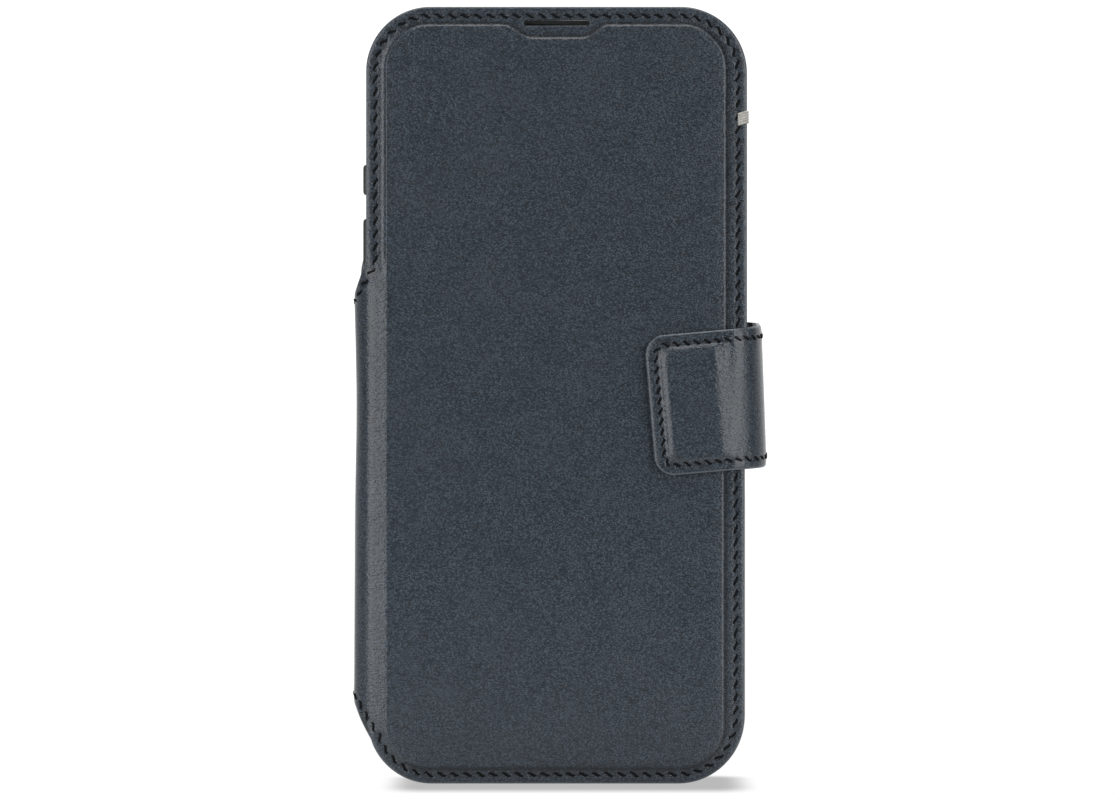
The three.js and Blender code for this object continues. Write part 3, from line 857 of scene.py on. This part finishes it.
def front_cover(folio):
    panel = closed_path(panel_corners())
    slot = closed_path(slot_corners())
    panel_left = LEFT + PANEL["left"]

    def front(points):
        u, z = points.T
        inside, _ = panel.measure(points)
        edge = folio.rim.distance(points)
        across, along = folio.seam.measure(points)
        drop = 1 - np.clip((inside + PANEL_FOOT) / PANEL_RAMP, 0, 1)
        crown = smooth(inside / PANEL_SHOULDER)
        step = mix(1 - drop**PANEL_POWER, crown, PANEL_CROWN)
        ramp = np.clip((inside - LEFT_RAMP["start"]) / LEFT_RAMP["width"], 0, 1) ** LEFT_RAMP["power"]
        step = mix(step, ramp, smooth((panel_left + 6 - u) / 5))
        slope = np.clip((u - ROLL_START) / (panel_left + 0.6 - ROLL_START), 0, 1)
        zone = window(z, *SPINE_ZONE) * (u < panel_left + PANEL_SHOULDER)
        height = PANEL_RISE * mix(step, slope, zone) - cover_dip(points)
        height += seam_groove(across, along) + unevenness(points, UNEVEN["cover"])
        height -= fall(edge, *FALL["cover"])
        return height - rounding(edge) - rounding(slot.distance(points), 0.3)

    def notes(points):
        inside, _ = panel.measure(points)
        away_from_spine = smooth((points[:, 0] - panel_left - 1) / 6)
        # Painted shade: a darker line along the panel's foot, away from the spine.
        pressed = np.exp(-(((inside - FOOT_SHADE["middle"]) / FOOT_SHADE["width"]) ** 2)) * away_from_spine
        return {**folio.notes(points), "pressed": pressed}

    def back(points):
        inside, _ = panel.measure(points)
        return mix(behind_hem(points, COVER_HEM, cover_dip), -COVER_SKIN, smooth((inside - 0.8) / 0.3))

    guides = [
        (folio.outline, RIM_RINGS, 0.5),
        (folio.seam, (-0.95, -0.6, -0.3, 0, 0.3, 0.6, 0.95, 1.4), 0.35),
        (panel, (-0.8, -0.45, -PANEL_FOOT, 0.0, 0.12, 0.27, 0.4, 0.5, 0.6, 0.8, 1.2, 1.7, 2.4), 0.5),
        (slot, (-0.08, -0.2, -0.34, -0.7), 0.3),
    ]
    fine = (np.array((CUT, SPINE_BOTTOM)), np.array((panel_left + 2, 116.0)), 0.8)
    place = leaning(roll_place(ROLL_START, ROLL, COVER_PLANE, -1, -1, spine_hollow, roll_share))
    skin = sheet("cover_leather_skin", folio.outline, front, back, place, guides, [slot], 2.4, fine,
                 notes=notes)
    bend = into_spine(COVER_PLANE, -1)
    bodies = ("cover", "spine")
    dress(skin, LEATHER, bodies, ("cover_leather", "spine_leather"), **bend)
    thread = stitches("cover_thread", folio.seam, front, place, seed=11)
    dress(thread, DARK_THREAD, bodies,
          ("cover_stitching", "spine_bottom_stitching", "spine_top_stitching"), **bend)
    lining = folio_lining("cover_lining_sheet", folio, COVER_HEM, cover_dip, place, [slot])
    dress(lining, MICROFIBRE, bodies, ("cover_lining", "spine_lining"), **bend)


def back_cover(folio):
    def front(points):
        edge = folio.rim.distance(points)
        across, along = folio.seam.measure(points)
        height = seam_groove(across, along) + unevenness(points, UNEVEN["back"]) - fall(edge, *FALL["back"])
        return height - 0.05 - back_dip(points) - rounding(edge)

    def back(points):
        edge = folio.rim.distance(points)
        inner = smooth((edge - 3.5) / 0.4) * smooth((points[:, 0] - LEFT - 3.4) / 0.4)
        return mix(behind_hem(points, BACK_HEM, back_dip), -BACK_SKIN, inner)

    guides = [
        (folio.outline, RIM_RINGS, 0.6),
        (folio.seam, (-0.95, -0.5, -0.2, 0.2, 0.5, 0.95), 0.4),
    ]
    fine = (np.array((CUT, SPINE_BOTTOM)), np.array((LEFT + 3, 112.0)), 0.9)
    place = roll_place(ROLL_START, ROLL, BACK_PLANE, -1, 1, spine_hollow, roll_share)
    skin = sheet("back_leather_skin", folio.outline, front, back, place, guides, (), 2.4, fine,
                 notes=folio.notes)
    bend = into_spine(BACK_PLANE, 1)
    bodies = ("back_panel", "spine")
    dress(skin, LEATHER, bodies, ("back_leather",), **bend)
    thread = stitches("back_thread", folio.seam, front, place, seed=12)
    dress(thread, DARK_THREAD, bodies, ("back_stitching",), **bend)
    lining = folio_lining("back_lining_sheet", folio, BACK_HEM, back_dip, place)
    dress(lining, MICROFIBRE, bodies, ("back_lining",), *LINING_FOLD)


# ---- pockets inside the cover
POCKET_SEAM = 1.6
POCKET_THREAD = 0.16


def pocket_thread(name, low, high, corner, height, keep, seed):
    """The seam round the three closed sides of a pocket."""
    left, right = low[0] + 2, high[0] - POCKET_SEAM
    bottom, top = low[2] + POCKET_SEAM, high[2] - POCKET_SEAM
    seam = open_path([(left, bottom, 0), (right, bottom, corner), (right, top, corner), (left, top, 0)])
    thread = stitches(name, seam, height, flat_place(0, 1), keep, POCKET_THREAD, seed)
    dress(thread, DARK_THREAD, ("cover",))


def pockets():
    nodes = ["cash_pocket", "card_pocket_1", "card_pocket_2", "card_pocket_3"]
    boxes = [box_mm(node) for node in nodes]
    for node, (low, high) in zip(nodes, boxes):
        outline = box_outline(low, high, 0, 9 if node == "cash_pocket" else 2)

        def front(points):
            from_opening = points[:, 0] - low[0]
            creased = 0.06 * np.exp(-(((from_opening - 1.5) / 0.25) ** 2))
            return -rounding(outline.distance(points), 0.2) - creased

        guides = [(outline, (0.03, 0.1, 0.2, 0.6, 1.1, 1.3, 1.5, 1.7, 1.9), 1.0)]
        back = level(low[1] - high[1])
        place = flat_place(high[1], 1)
        pocket = sheet(f"{node}_leaf", outline, front, back, place, guides, (), 4.0, step=1.0)
        dress(pocket, LEATHER, ("cover",), (node,))

    (cash_low, cash_high), (card_low, card_high) = boxes[:2]
    edges = [low[0] for low, _ in boxes[1:]]

    def clear_of_cards(point):
        return not card_low[2] - 2 < point[1] < card_high[2] + 2

    def clear_of_steps(point):
        return all(abs(point[0] - edge) > 1.2 for edge in edges)

    def card_level(points):
        top = np.full(len(points), card_high[1])
        for low, high in boxes[2:]:
            top = np.where(points[:, 0] > low[0], high[1], top)
        return top

    pocket_thread("cash_pocket_thread", cash_low, cash_high, 7, level(cash_high[1]), clear_of_cards, 21)
    pocket_thread("card_pocket_thread", card_low, card_high, 1.5, card_level, clear_of_steps, 22)


# ---- strap
def strap_to_flat(p, q):
    c, s = math.cos(STRAP_TILT), math.sin(STRAP_TILT)
    return STRAP_START + p * c - q * s, STRAP["pivot_z"] + p * s + q * c


def flat_to_strap(points):
    c, s = math.cos(STRAP_TILT), math.sin(STRAP_TILT)
    du, dz = points[:, 0] - STRAP_START, points[:, 1] - STRAP["pivot_z"]
    return du * c + dz * s, dz * c - du * s


FRONT_ARC = STRAP_ROLL * math.pi / 2
BACK_ARC = STRAP_BACK_ROLL * math.pi / 2
TO_MIDDLE = FRONT_ARC + STRAP_MIDDLE - (STRAP["plane"] + STRAP_ROLL)
STRAP_TURN = TO_MIDDLE + BACK_ARC + STRAP_BACK_PLANE - STRAP_BACK_ROLL - STRAP_MIDDLE


def strap_lean(z):
    return STRAP_LEAN * (z - STRAP["pivot_z"])


def strap_corners(from_u, to_u, inset=0.0, tip=False):
    """The strip between two upright cuts in the flat, or between its rounded tip and one cut."""
    half = STRAP["width"] / 2 - inset

    def on_cut(u, q):
        p = (u - STRAP_START + q * math.sin(STRAP_TILT)) / math.cos(STRAP_TILT)
        return strap_to_flat(p, q)

    right = [(*on_cut(to_u, -half), 0), (*on_cut(to_u, half), 0)]
    if not tip:
        return [(*on_cut(from_u, -half), 0), *right, (*on_cut(from_u, half), 0)]
    corner = STRAP["corner"] - inset
    low = (*strap_to_flat(-STRAP["tip"] + inset, -half), corner)
    high = (*strap_to_flat(-STRAP["tip"] + inset, half), corner)
    return [right[1], high, low, right[0]]


def strap():
    middle_u = STRAP_START + TO_MIDDLE
    end_u = STRAP_START + STRAP_TURN + STRAP_TAIL
    front_roll = roll_place(STRAP_START, STRAP_ROLL, STRAP["plane"], 1, -1, strap_lean)
    back_roll = roll_place(STRAP_BACK_START, STRAP_BACK_ROLL, STRAP_BACK_PLANE, 1, 1, strap_lean)

    def levelled(flat):
        past = np.clip(flat[:, 0] - STRAP_START - 1, 0, STRAP_TURN)
        drop = STRAP_LEVEL * math.tan(STRAP_TILT) * past
        return np.column_stack([flat[:, 0], flat[:, 1] - drop, flat[:, 2]])

    def front_place(flat):
        return front_roll(levelled(flat))

    def back_place(flat):
        turned = levelled(flat)
        turned[:, 0] = STRAP_BACK_START + STRAP_TURN - (flat[:, 0] - STRAP_START)
        return back_roll(turned)

    def rises(points):
        p, q = flat_to_strap(points)
        half_length, half_width = PAD["length"] / 2, PAD["width"] / 2
        out_p = np.abs(p - PAD["p"]) - half_length + PAD["corner"]
        out_q = np.abs(q - PAD["q"]) - half_width + PAD["corner"]
        outside = np.hypot(np.maximum(out_p, 0), np.maximum(out_q, 0)) - PAD["corner"]
        pad = 1 - smooth(outside / PAD["ramp"])
        run = 1 - np.clip((p - PAD["p"] - half_length) / PAD["run"], 0, 1)
        beside = 1 - smooth((out_q - PAD["corner"]) / PAD["ramp"])
        on_run = p > PAD["p"] + half_length - PAD["corner"]
        return PAD["rise"] * np.where(on_run, np.minimum(run, beside), pad)

    def dip(points):
        past = points[:, 0] - STRAP_START
        share = np.clip(past / 4, 0, 1)
        return STRAP_DIP * (1 - (1 - share) ** 2) * (1 - smooth((past - 8) / 7))

    def thinning(points):
        return 1 - 0.42 * smooth((points[:, 0] - STRAP_START - TO_MIDDLE - 4) / 8)

    long_corners = strap_corners(0, end_u, tip=True)
    rim = open_path(long_corners)
    seam = open_path(strap_corners(0, end_u, STRAP_INSET, tip=True))
    seam.pitch = STITCH["strap_pitch"]

    def face(points):
        edge = rim.distance(points)
        across, along = seam.measure(points)
        height = rises(points) - dip(points) - fall(edge, *FALL["strap"])
        height += seam_groove(across, along, seam.pitch) + unevenness(points, UNEVEN["strap"])
        return height - rounding(edge)

    def leather_back(points):
        p, q = flat_to_strap(points)
        inside = np.minimum(PAD["length"] / 2 + 0.1 - np.abs(p - PAD["p"]),
                            PAD["width"] / 2 - 0.1 - np.abs(q - PAD["q"]))
        return mix(-STRAP_LEATHER * thinning(points), -0.05, smooth(inside / 0.3))

    def lining_face(points):
        return -(STRAP_LEATHER + STRAP_GLUE) * thinning(points)

    def lining_back(points):
        edge = rim.distance(points)
        return lining_face(points) - STRAP_LINING * thinning(points) + rounding(edge, 0.3)

    def notes(points):
        return leather_notes(points, rim, seam, window(points[:, 0] - STRAP_START, *STRAP_CREASE))

    def bend(start_x, start_y, end_y):
        z = STRAP["pivot_z"]
        return {"start": (start_x, start_y, z), "end": (STRAP["outer"], end_y, z)}

    halves = {
        "strap_flap": {
            "outline": strap_corners(0, middle_u, tip=True), "place": front_place, "body": "strap_flap",
            "leather": ["flap_leather"], "lining": ["flap_lining"], "thread": ["flap_stitching"],
            "keep": lambda point: point[0] < middle_u,
            "bend": bend(STRAP_START, STRAP["plane"], STRAP["plane"] + STRAP_ROLL),
        },
        "strap_back": {
            "outline": strap_corners(middle_u, end_u), "place": back_place, "body": "back_panel",
            "leather": ["strap_side_leather"], "lining": ["strap_side_lining"],
            "thread": ["strap_upper_stitching", "strap_lower_stitching"],
            "keep": lambda point: middle_u <= point[0] < STRAP_START + STRAP_TURN - 1,
            "bend": bend(STRAP_BACK_START, STRAP_BACK_PLANE, STRAP_BACK_PLANE - STRAP_BACK_ROLL),
        },
    }
    guides = [(rim, RIM_RINGS, 0.4), (seam, (-0.9, -0.6, -0.3, 0, 0.3, 0.6, 0.9), 0.33)]
    for name, half in halves.items():
        outline, place, bodies = closed_path(half["outline"]), half["place"], (half["body"], "strap_side")
        skin = sheet(f"{name}_leather_skin", outline, face, leather_back, place, guides, (), 0.8, step=0.4,
                     notes=notes)
        dress(skin, LEATHER, bodies, half["leather"], **half["bend"])
        lining = sheet(f"{name}_lining_sheet", outline, lining_face, lining_back, place,
                       [(rim, (0.1, 0.3, 0.8), 0.5)], (), 1.5, step=0.5)
        dress(lining, MICROFIBRE, bodies, half["lining"], **half["bend"])
    for name, half in halves.items():
        thread = stitches(f"{name}_thread", seam, face, half["place"], half["keep"], seed=31)
        dress(thread, DARK_THREAD, (half["body"], "strap_side"), half["thread"], **half["bend"])


# ---- thread tag on the cover's free edge
TAG = {"strands": 5, "radius": 0.3, "sides": 8, "sections": 15, "front_share": 0.55}


def tag_strand(left, base_z):
    """One strand's way: across the front, then round the edge to the back."""
    middle_y = (COVER_PLANE + COVER_HIGH[1]) / 2
    turn_x = RIGHT - 0.3
    path = []
    for share in np.linspace(0, 1, TAG["sections"]):
        if share < TAG["front_share"]:
            t = share / TAG["front_share"]
            y = COVER_PLANE - 0.14 - 0.2 * math.sin(math.pi * t**0.7)
            path.append((left + t * (RIGHT - left - 0.3), y, base_z + 0.5 * (t - 0.5)))
        else:
            t = (share - TAG["front_share"]) / (1 - TAG["front_share"]) * math.pi
            y = middle_y - (middle_y - COVER_PLANE + 0.1) * math.cos(t)
            path.append((turn_x + 0.5 * math.sin(t), y, base_z + 0.25))
    return np.array(path)


def edge_tag():
    """Pale thread wrapped round the cover's free edge."""
    low, high = box_mm("edge_tag")
    turns = np.arange(TAG["sides"]) * 2 * math.pi / TAG["sides"]
    vertices = []
    faces = []
    for base_z in np.linspace(low[2] + TAG["radius"], high[2] - TAG["radius"], TAG["strands"]):
        path = tag_strand(low[0], base_z)
        ahead = np.gradient(path, axis=0)
        side = np.cross(ahead, (0, 0, 1))
        ahead /= np.linalg.norm(ahead, axis=1)[:, None]
        side /= np.linalg.norm(side, axis=1)[:, None]
        up = np.cross(side, ahead)
        rings = [[point + TAG["radius"] * (0.8 * math.cos(turn) * across + math.sin(turn) * over)
                  for turn in turns] for point, across, over in zip(path, side, up)]
        add_tube(vertices, faces, rings)
    vertices = np.array(vertices)
    tag = mesh_object("edge_tag_thread", vertices, faces, {"flat": vertices}, sharp=60)
    dress(tag, PALE_THREAD, ("cover",), ("edge_tag",))


# ---- inner phone case
CASE_LOW, CASE_HIGH = box_mm("case_bumper")
CASE_CORNER = 13.9
CASE_WALL = 2.0
LIP = 1.0
LIP_REACH = 1.2
PORTS = [(0.0, 13.0, 6.5), (-22.0, 15.0, 3.2), (22.0, 15.0, 3.2)]
PORT_LEVEL = 1.95
BUTTONS = ["action_button", "volume_up_button", "volume_down_button", "side_button"]
BUTTON_PLAY = 0.25
BUTTON_RIM = 0.6
BUTTON_FLANGE = 0.6
# How far the cutters reach, from the middle of a button or from the case's lower end.
WINDOW_CUT = (-1.0, 6.0)
SEAT_CUT = (-2.2, 2.2)
PORT_CUT = (-2.0, 5.0)
ROUND_FRONT = 1.3
ROUND_REAR = 1.1
CAMERA_CORNER = 10.8
CAMERA_RING = 1.3


def bumper_profile():
    """The frame's rounded section, as insets from its outline and depths."""
    front, rear = CASE_LOW[1], CASE_HIGH[1]
    profile = [(CASE_WALL, rear)]
    for t in np.linspace(0, math.pi / 2, 6):
        profile.append((ROUND_REAR * (1 - math.sin(t)), rear - ROUND_REAR * (1 - math.cos(t))))
    for t in np.linspace(0, math.pi / 2, 7):
        profile.append((ROUND_FRONT * (1 - math.cos(t)), front + ROUND_FRONT * (1 - math.sin(t))))
    lip = CASE_WALL + LIP_REACH
    return [*profile, (lip - 0.3, front), (lip, front + 0.3), (lip, front + LIP), (CASE_WALL, front + LIP)]


def bumper_cutters():
    """Each button has a window in the wall and a wider seat behind it, and each port a way through."""
    cutters = []
    for name in BUTTONS:
        low, high = box_mm(name)
        middle = (low + high) / 2
        length = high[2] - low[2] - 2 * BUTTON_RIM
        width = high[1] - low[1] - 2 * BUTTON_RIM
        side = 1 if middle[0] > 0 else -1

        def sideways(a, b, depth):
            return middle[0] + side * depth, middle[1] + a, middle[2] + b

        for growth, depths in ((BUTTON_PLAY, WINDOW_CUT), (BUTTON_PLAY + BUTTON_RIM, SEAT_CUT)):
            cutters.append(prism(pill(width + 2 * growth, length + 2 * growth), sideways, *depths))
    for x, width, height in PORTS:

        def upwards(a, b, depth):
            return CENTRE + x + a, PORT_LEVEL + b, depth

        cutters.append(prism(pill(width, height), upwards, *PORT_CUT))
    return cutters


def bumper():
    """The rubber frame: one rounded profile carried round the phone, cut for the buttons and ports."""
    profile = bumper_profile()
    path = box_outline(CASE_LOW, CASE_HIGH, 0, CASE_CORNER)
    ring = path.points[::10]
    normals = path.normals[::10]
    vertices = [(x + nx * inset, y, z + nz * inset) for (x, z), (nx, nz) in zip(ring, normals)
                for inset, y in profile]
    count = len(profile)
    faces = []
    for i in range(len(ring)):
        j = (i + 1) % len(ring)
        for k in range(count):
            m = (k + 1) % count
            faces.append((i * count + k, j * count + k, j * count + m, i * count + m))
    frame_piece = mesh_object("case_bumper_frame", vertices, faces, sharp=35)
    carve(frame_piece, bumper_cutters())
    dress(frame_piece, RUBBER, ("phone_case",), ("case_bumper",))


def pill(width, height):
    """A slot's outline with round ends, about the origin."""
    corners = rectangle(-width / 2, -height / 2, width / 2, height / 2, min(width, height) / 2 - 0.02)
    return resampled(rounded_points(corners, True), 0.3, True)


def prism(outline, to_world, near, far):
    """A cutter: an outline carried from one depth to another."""
    count = len(outline)
    vertices = [to_world(a, b, depth) for depth in (near, far) for a, b in outline]
    faces = [tuple(range(count)), tuple(reversed(range(count, 2 * count)))]
    faces += [(i, (i + 1) % count, count + (i + 1) % count, count + i) for i in range(count)]
    return mesh_object("cutter", vertices, faces)


def carve(obj, cutters):
    for cutter in cutters:
        modifier = obj.modifiers.new("cut", "BOOLEAN")
        modifier.operation = "DIFFERENCE"
        modifier.solver = "EXACT"
        modifier.object = cutter
    bpy.context.view_layer.update()
    made = bpy.data.meshes.new_from_object(obj.evaluated_get(bpy.context.evaluated_depsgraph_get()))
    obj.modifiers.clear()
    obj.data = made
    for cutter in cutters:
        bpy.data.objects.remove(cutter)
    obj.data.materials.clear()
    obj.data.shade_smooth()
    obj.data.set_sharp_from_angle(angle=math.radians(35))


def plate(name, low, high, outline, hole, rounds, guides, spacing, step, notes=None):
    """A flat piece that faces back, with a hole in it and rounded rims."""

    def front(points):
        return -rounding(outline.distance(points), rounds[0]) - rounding(hole.distance(points), rounds[1])

    back = level(low[1] - high[1])
    place = flat_place(high[1], 1)
    return sheet(name, outline, front, back, place, guides, [hole], spacing, step=step, notes=notes)


def case_back():
    low, high = box_mm("case_back_leather")
    ring_low, ring_high = box_mm("camera_ring")
    outline = box_outline(CASE_LOW, CASE_HIGH, 0.8, CASE_CORNER - 0.8)
    opening = box_outline(ring_low, ring_high, -0.05, CAMERA_CORNER)
    guides = [(outline, (0.03, 0.1, 0.2, 0.4, 1.0), 1.0), (opening, (-0.05, -0.15, -0.5), 0.8)]
    leaf = plate("case_back_leather_leaf", low, high, outline, opening, (0.4, 0.15), guides, 4.0, 1.0,
                 lambda points: {"edge": level(FAR)(points)})
    dress(leaf, LEATHER, ("phone_case",), ("case_back_leather",))

    outline = box_outline(ring_low, ring_high, 0, CAMERA_CORNER)
    hole = box_outline(ring_low, ring_high, CAMERA_RING, CAMERA_CORNER - CAMERA_RING)
    guides = [(outline, (0.04, 0.13, 0.3, 0.6, 0.9), 0.6), (hole, (-0.05, -0.15, -0.35), 0.6)]
    ring = plate("camera_ring_frame", ring_low, ring_high, outline, hole, (0.6, 0.35), guides, 3.0, 0.6)
    dress(ring, RING_METAL, ("phone_case",), ("camera_ring",))


def buttons():
    """Each button is a domed pill on a wider flange that stays inside the frame's wall."""
    for name in BUTTONS:
        low, high = box_mm(name)
        side = 1 if (low[0] + high[0]) / 2 > 0 else -1
        inner, outer = (low[0], high[0]) if side > 0 else (high[0], low[0])
        rise = abs(outer - inner) - BUTTON_FLANGE
        outline = closed_path(rectangle(low[1], low[2], high[1], high[2], (high[1] - low[1]) / 2 - 0.05))

        def front(points):
            inside = outline.distance(points) - BUTTON_RIM
            return BUTTON_FLANGE + rise * smooth((inside + 0.03) / 0.06) - rounding(inside, 0.7)

        def place(flat):
            return np.column_stack([inner + side * flat[:, 2], flat[:, 0], flat[:, 1]])

        guides = [(outline, (0.2, 0.5, 0.57, 0.63, 0.68, 0.78, 0.95, 1.15, 1.35, 1.7), 0.3)]
        piece = sheet(f"{name}_cap", outline, front, level(0.0), place, guides, (), 0.8, step=0.3)
        dress(piece, RUBBER, (name,), (name,))


# ---- carried-over CAD nodes
def dress_cad_nodes():
    looks = {
        BOARD: ["cover_board", "back_board"],
        STEEL: ["cover_magnet", "back_magnet_ring", "back_alignment_magnet", "case_magnet_ring",
                "case_alignment_magnet", "flap_magnet"],
        MICROFIBRE: ["case_lining"],
        PLASTIC: ["case_shell"],
    }
    for material, nodes in looks.items():
        for node in nodes:
            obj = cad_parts[node]
            obj.data.materials.clear()
            obj.data.materials.append(material)


# ---- studio
FLOOR = {"shade": 0.49, "open": 1.02, "front": -0.12, "half": 4.0}
SHADE = {"centre_x": 0.0015, "x": (0.0315, 0.0435), "front": (0.017, 0.049), "back": (0.008, 0.028)}
# The world's strength at each end of a ramp from the front towards the back, and as the camera sees it.
WORLD_LIGHT = (0.05, 1.0)
WORLD_RAMP = (0.0, 0.7)
WORLD_SEEN = 1.2
SOFTBOX = {"azimuth": 36, "distance": 0.9, "height": 0.18, "size": (0.62, 0.8), "power": 5.3}
TOP_LIGHT = {"place": (0, -0.3, 1.0), "size": (0.8, 0.6), "power": 5.4}
LIGHT_TARGET = (0, 0, 0.085)
CAMERA = {"x": -0.00047, "z": 0.0832, "distance": 1.3, "sensor": 36, "lens": 192.7}


def area_light(name, location, size, power):
    data = bpy.data.lights.new(name, "AREA")
    data.shape = "RECTANGLE"
    data.size, data.size_y, data.energy = *size, power
    light = add_object(name, data)
    light.location = location
    light.rotation_mode = "QUATERNION"
    light.rotation_quaternion = (Vector(LIGHT_TARGET) - Vector(location)).to_track_quat("-Z", "Y")


def sky():
    """A white world that gives its light from behind, so that the front isn't flattened."""
    world = bpy.data.worlds.new("studio")
    bpy.context.scene.world = world
    g = Graph(world, "Background")
    direction = g.node("ShaderNodeTexCoord").outputs["Generated"]
    backwards = g.node("ShaderNodeSeparateXYZ", {"Vector": direction}).outputs["Y"]
    light = g.remap(backwards, *WORLD_RAMP, *WORLD_LIGHT, kind="LINEAR")
    seen = g.node("ShaderNodeLightPath").outputs["Is Camera Ray"]
    g.finish(Color=(1, 1, 1, 1), Strength=g.remap(seen, 0.0, 1.0, light, WORLD_SEEN, kind="LINEAR"))


def floor():
    """A white floor with the object's soft contact shade painted where it stands."""
    half, front = FLOOR["half"], FLOOR["front"]
    mesh = bpy.data.meshes.new("floor")
    mesh.from_pydata([(-half, front, 0), (half, front, 0), (half, half, 0), (-half, half, 0)], [],
                     [(0, 1, 2, 3)])
    obj = add_object("floor", mesh)
    g = material_graph("white_floor")
    place = g.node("ShaderNodeSeparateXYZ", {"Vector": g.node("ShaderNodeTexCoord").outputs["Object"]})
    from_middle = g.math("ABSOLUTE", g.math("SUBTRACT", place.outputs["X"], SHADE["centre_x"]))
    under_x = g.remap(from_middle, *SHADE["x"], 1.0, 0.0)
    before = g.remap(g.math("MULTIPLY", place.outputs["Y"], -1.0), *SHADE["front"], 1.0, 0.0)
    behind = g.remap(place.outputs["Y"], *SHADE["back"], 1.0, 0.0)
    under = g.math("MULTIPLY", under_x, g.math("MULTIPLY", before, behind))
    glow = g.remap(under, 0.0, 1.0, FLOOR["open"], FLOOR["shade"])
    mesh.materials.append(g.finish(Base_Color=(0, 0, 0, 1), Roughness=0.9, Specular_IOR_Level=0.0,
                                   Emission_Color=(1, 1, 1, 1), Emission_Strength=glow))


def studio():
    scene = bpy.context.scene
    scene.view_settings.view_transform = "Standard"
    sky()
    floor()
    azimuth = math.radians(SOFTBOX["azimuth"])
    for name, side in (("left_softbox", -1), ("right_softbox", 1)):
        location = (side * SOFTBOX["distance"] * math.sin(azimuth), -SOFTBOX["distance"] * math.cos(azimuth),
                    SOFTBOX["height"])
        area_light(name, location, SOFTBOX["size"], SOFTBOX["power"])
    area_light("top_light", TOP_LIGHT["place"], TOP_LIGHT["size"], TOP_LIGHT["power"])

    data = bpy.data.cameras.new("camera")
    data.sensor_width = CAMERA["sensor"]
    data.lens = CAMERA["lens"]
    camera = add_object("camera", data)
    camera.location = (CAMERA["x"], COVER_PLANE * MM - CAMERA["distance"], CAMERA["z"])
    camera.rotation_euler = (math.radians(90), 0, 0)
    scene.camera = camera


# ---- the whole object
front_cover(Folio(COVER_TOP))
back_cover(Folio(BACK_TOP))
pockets()
strap()
edge_tag()
bumper()
case_back()
buttons()
dress_cad_nodes()
studio()
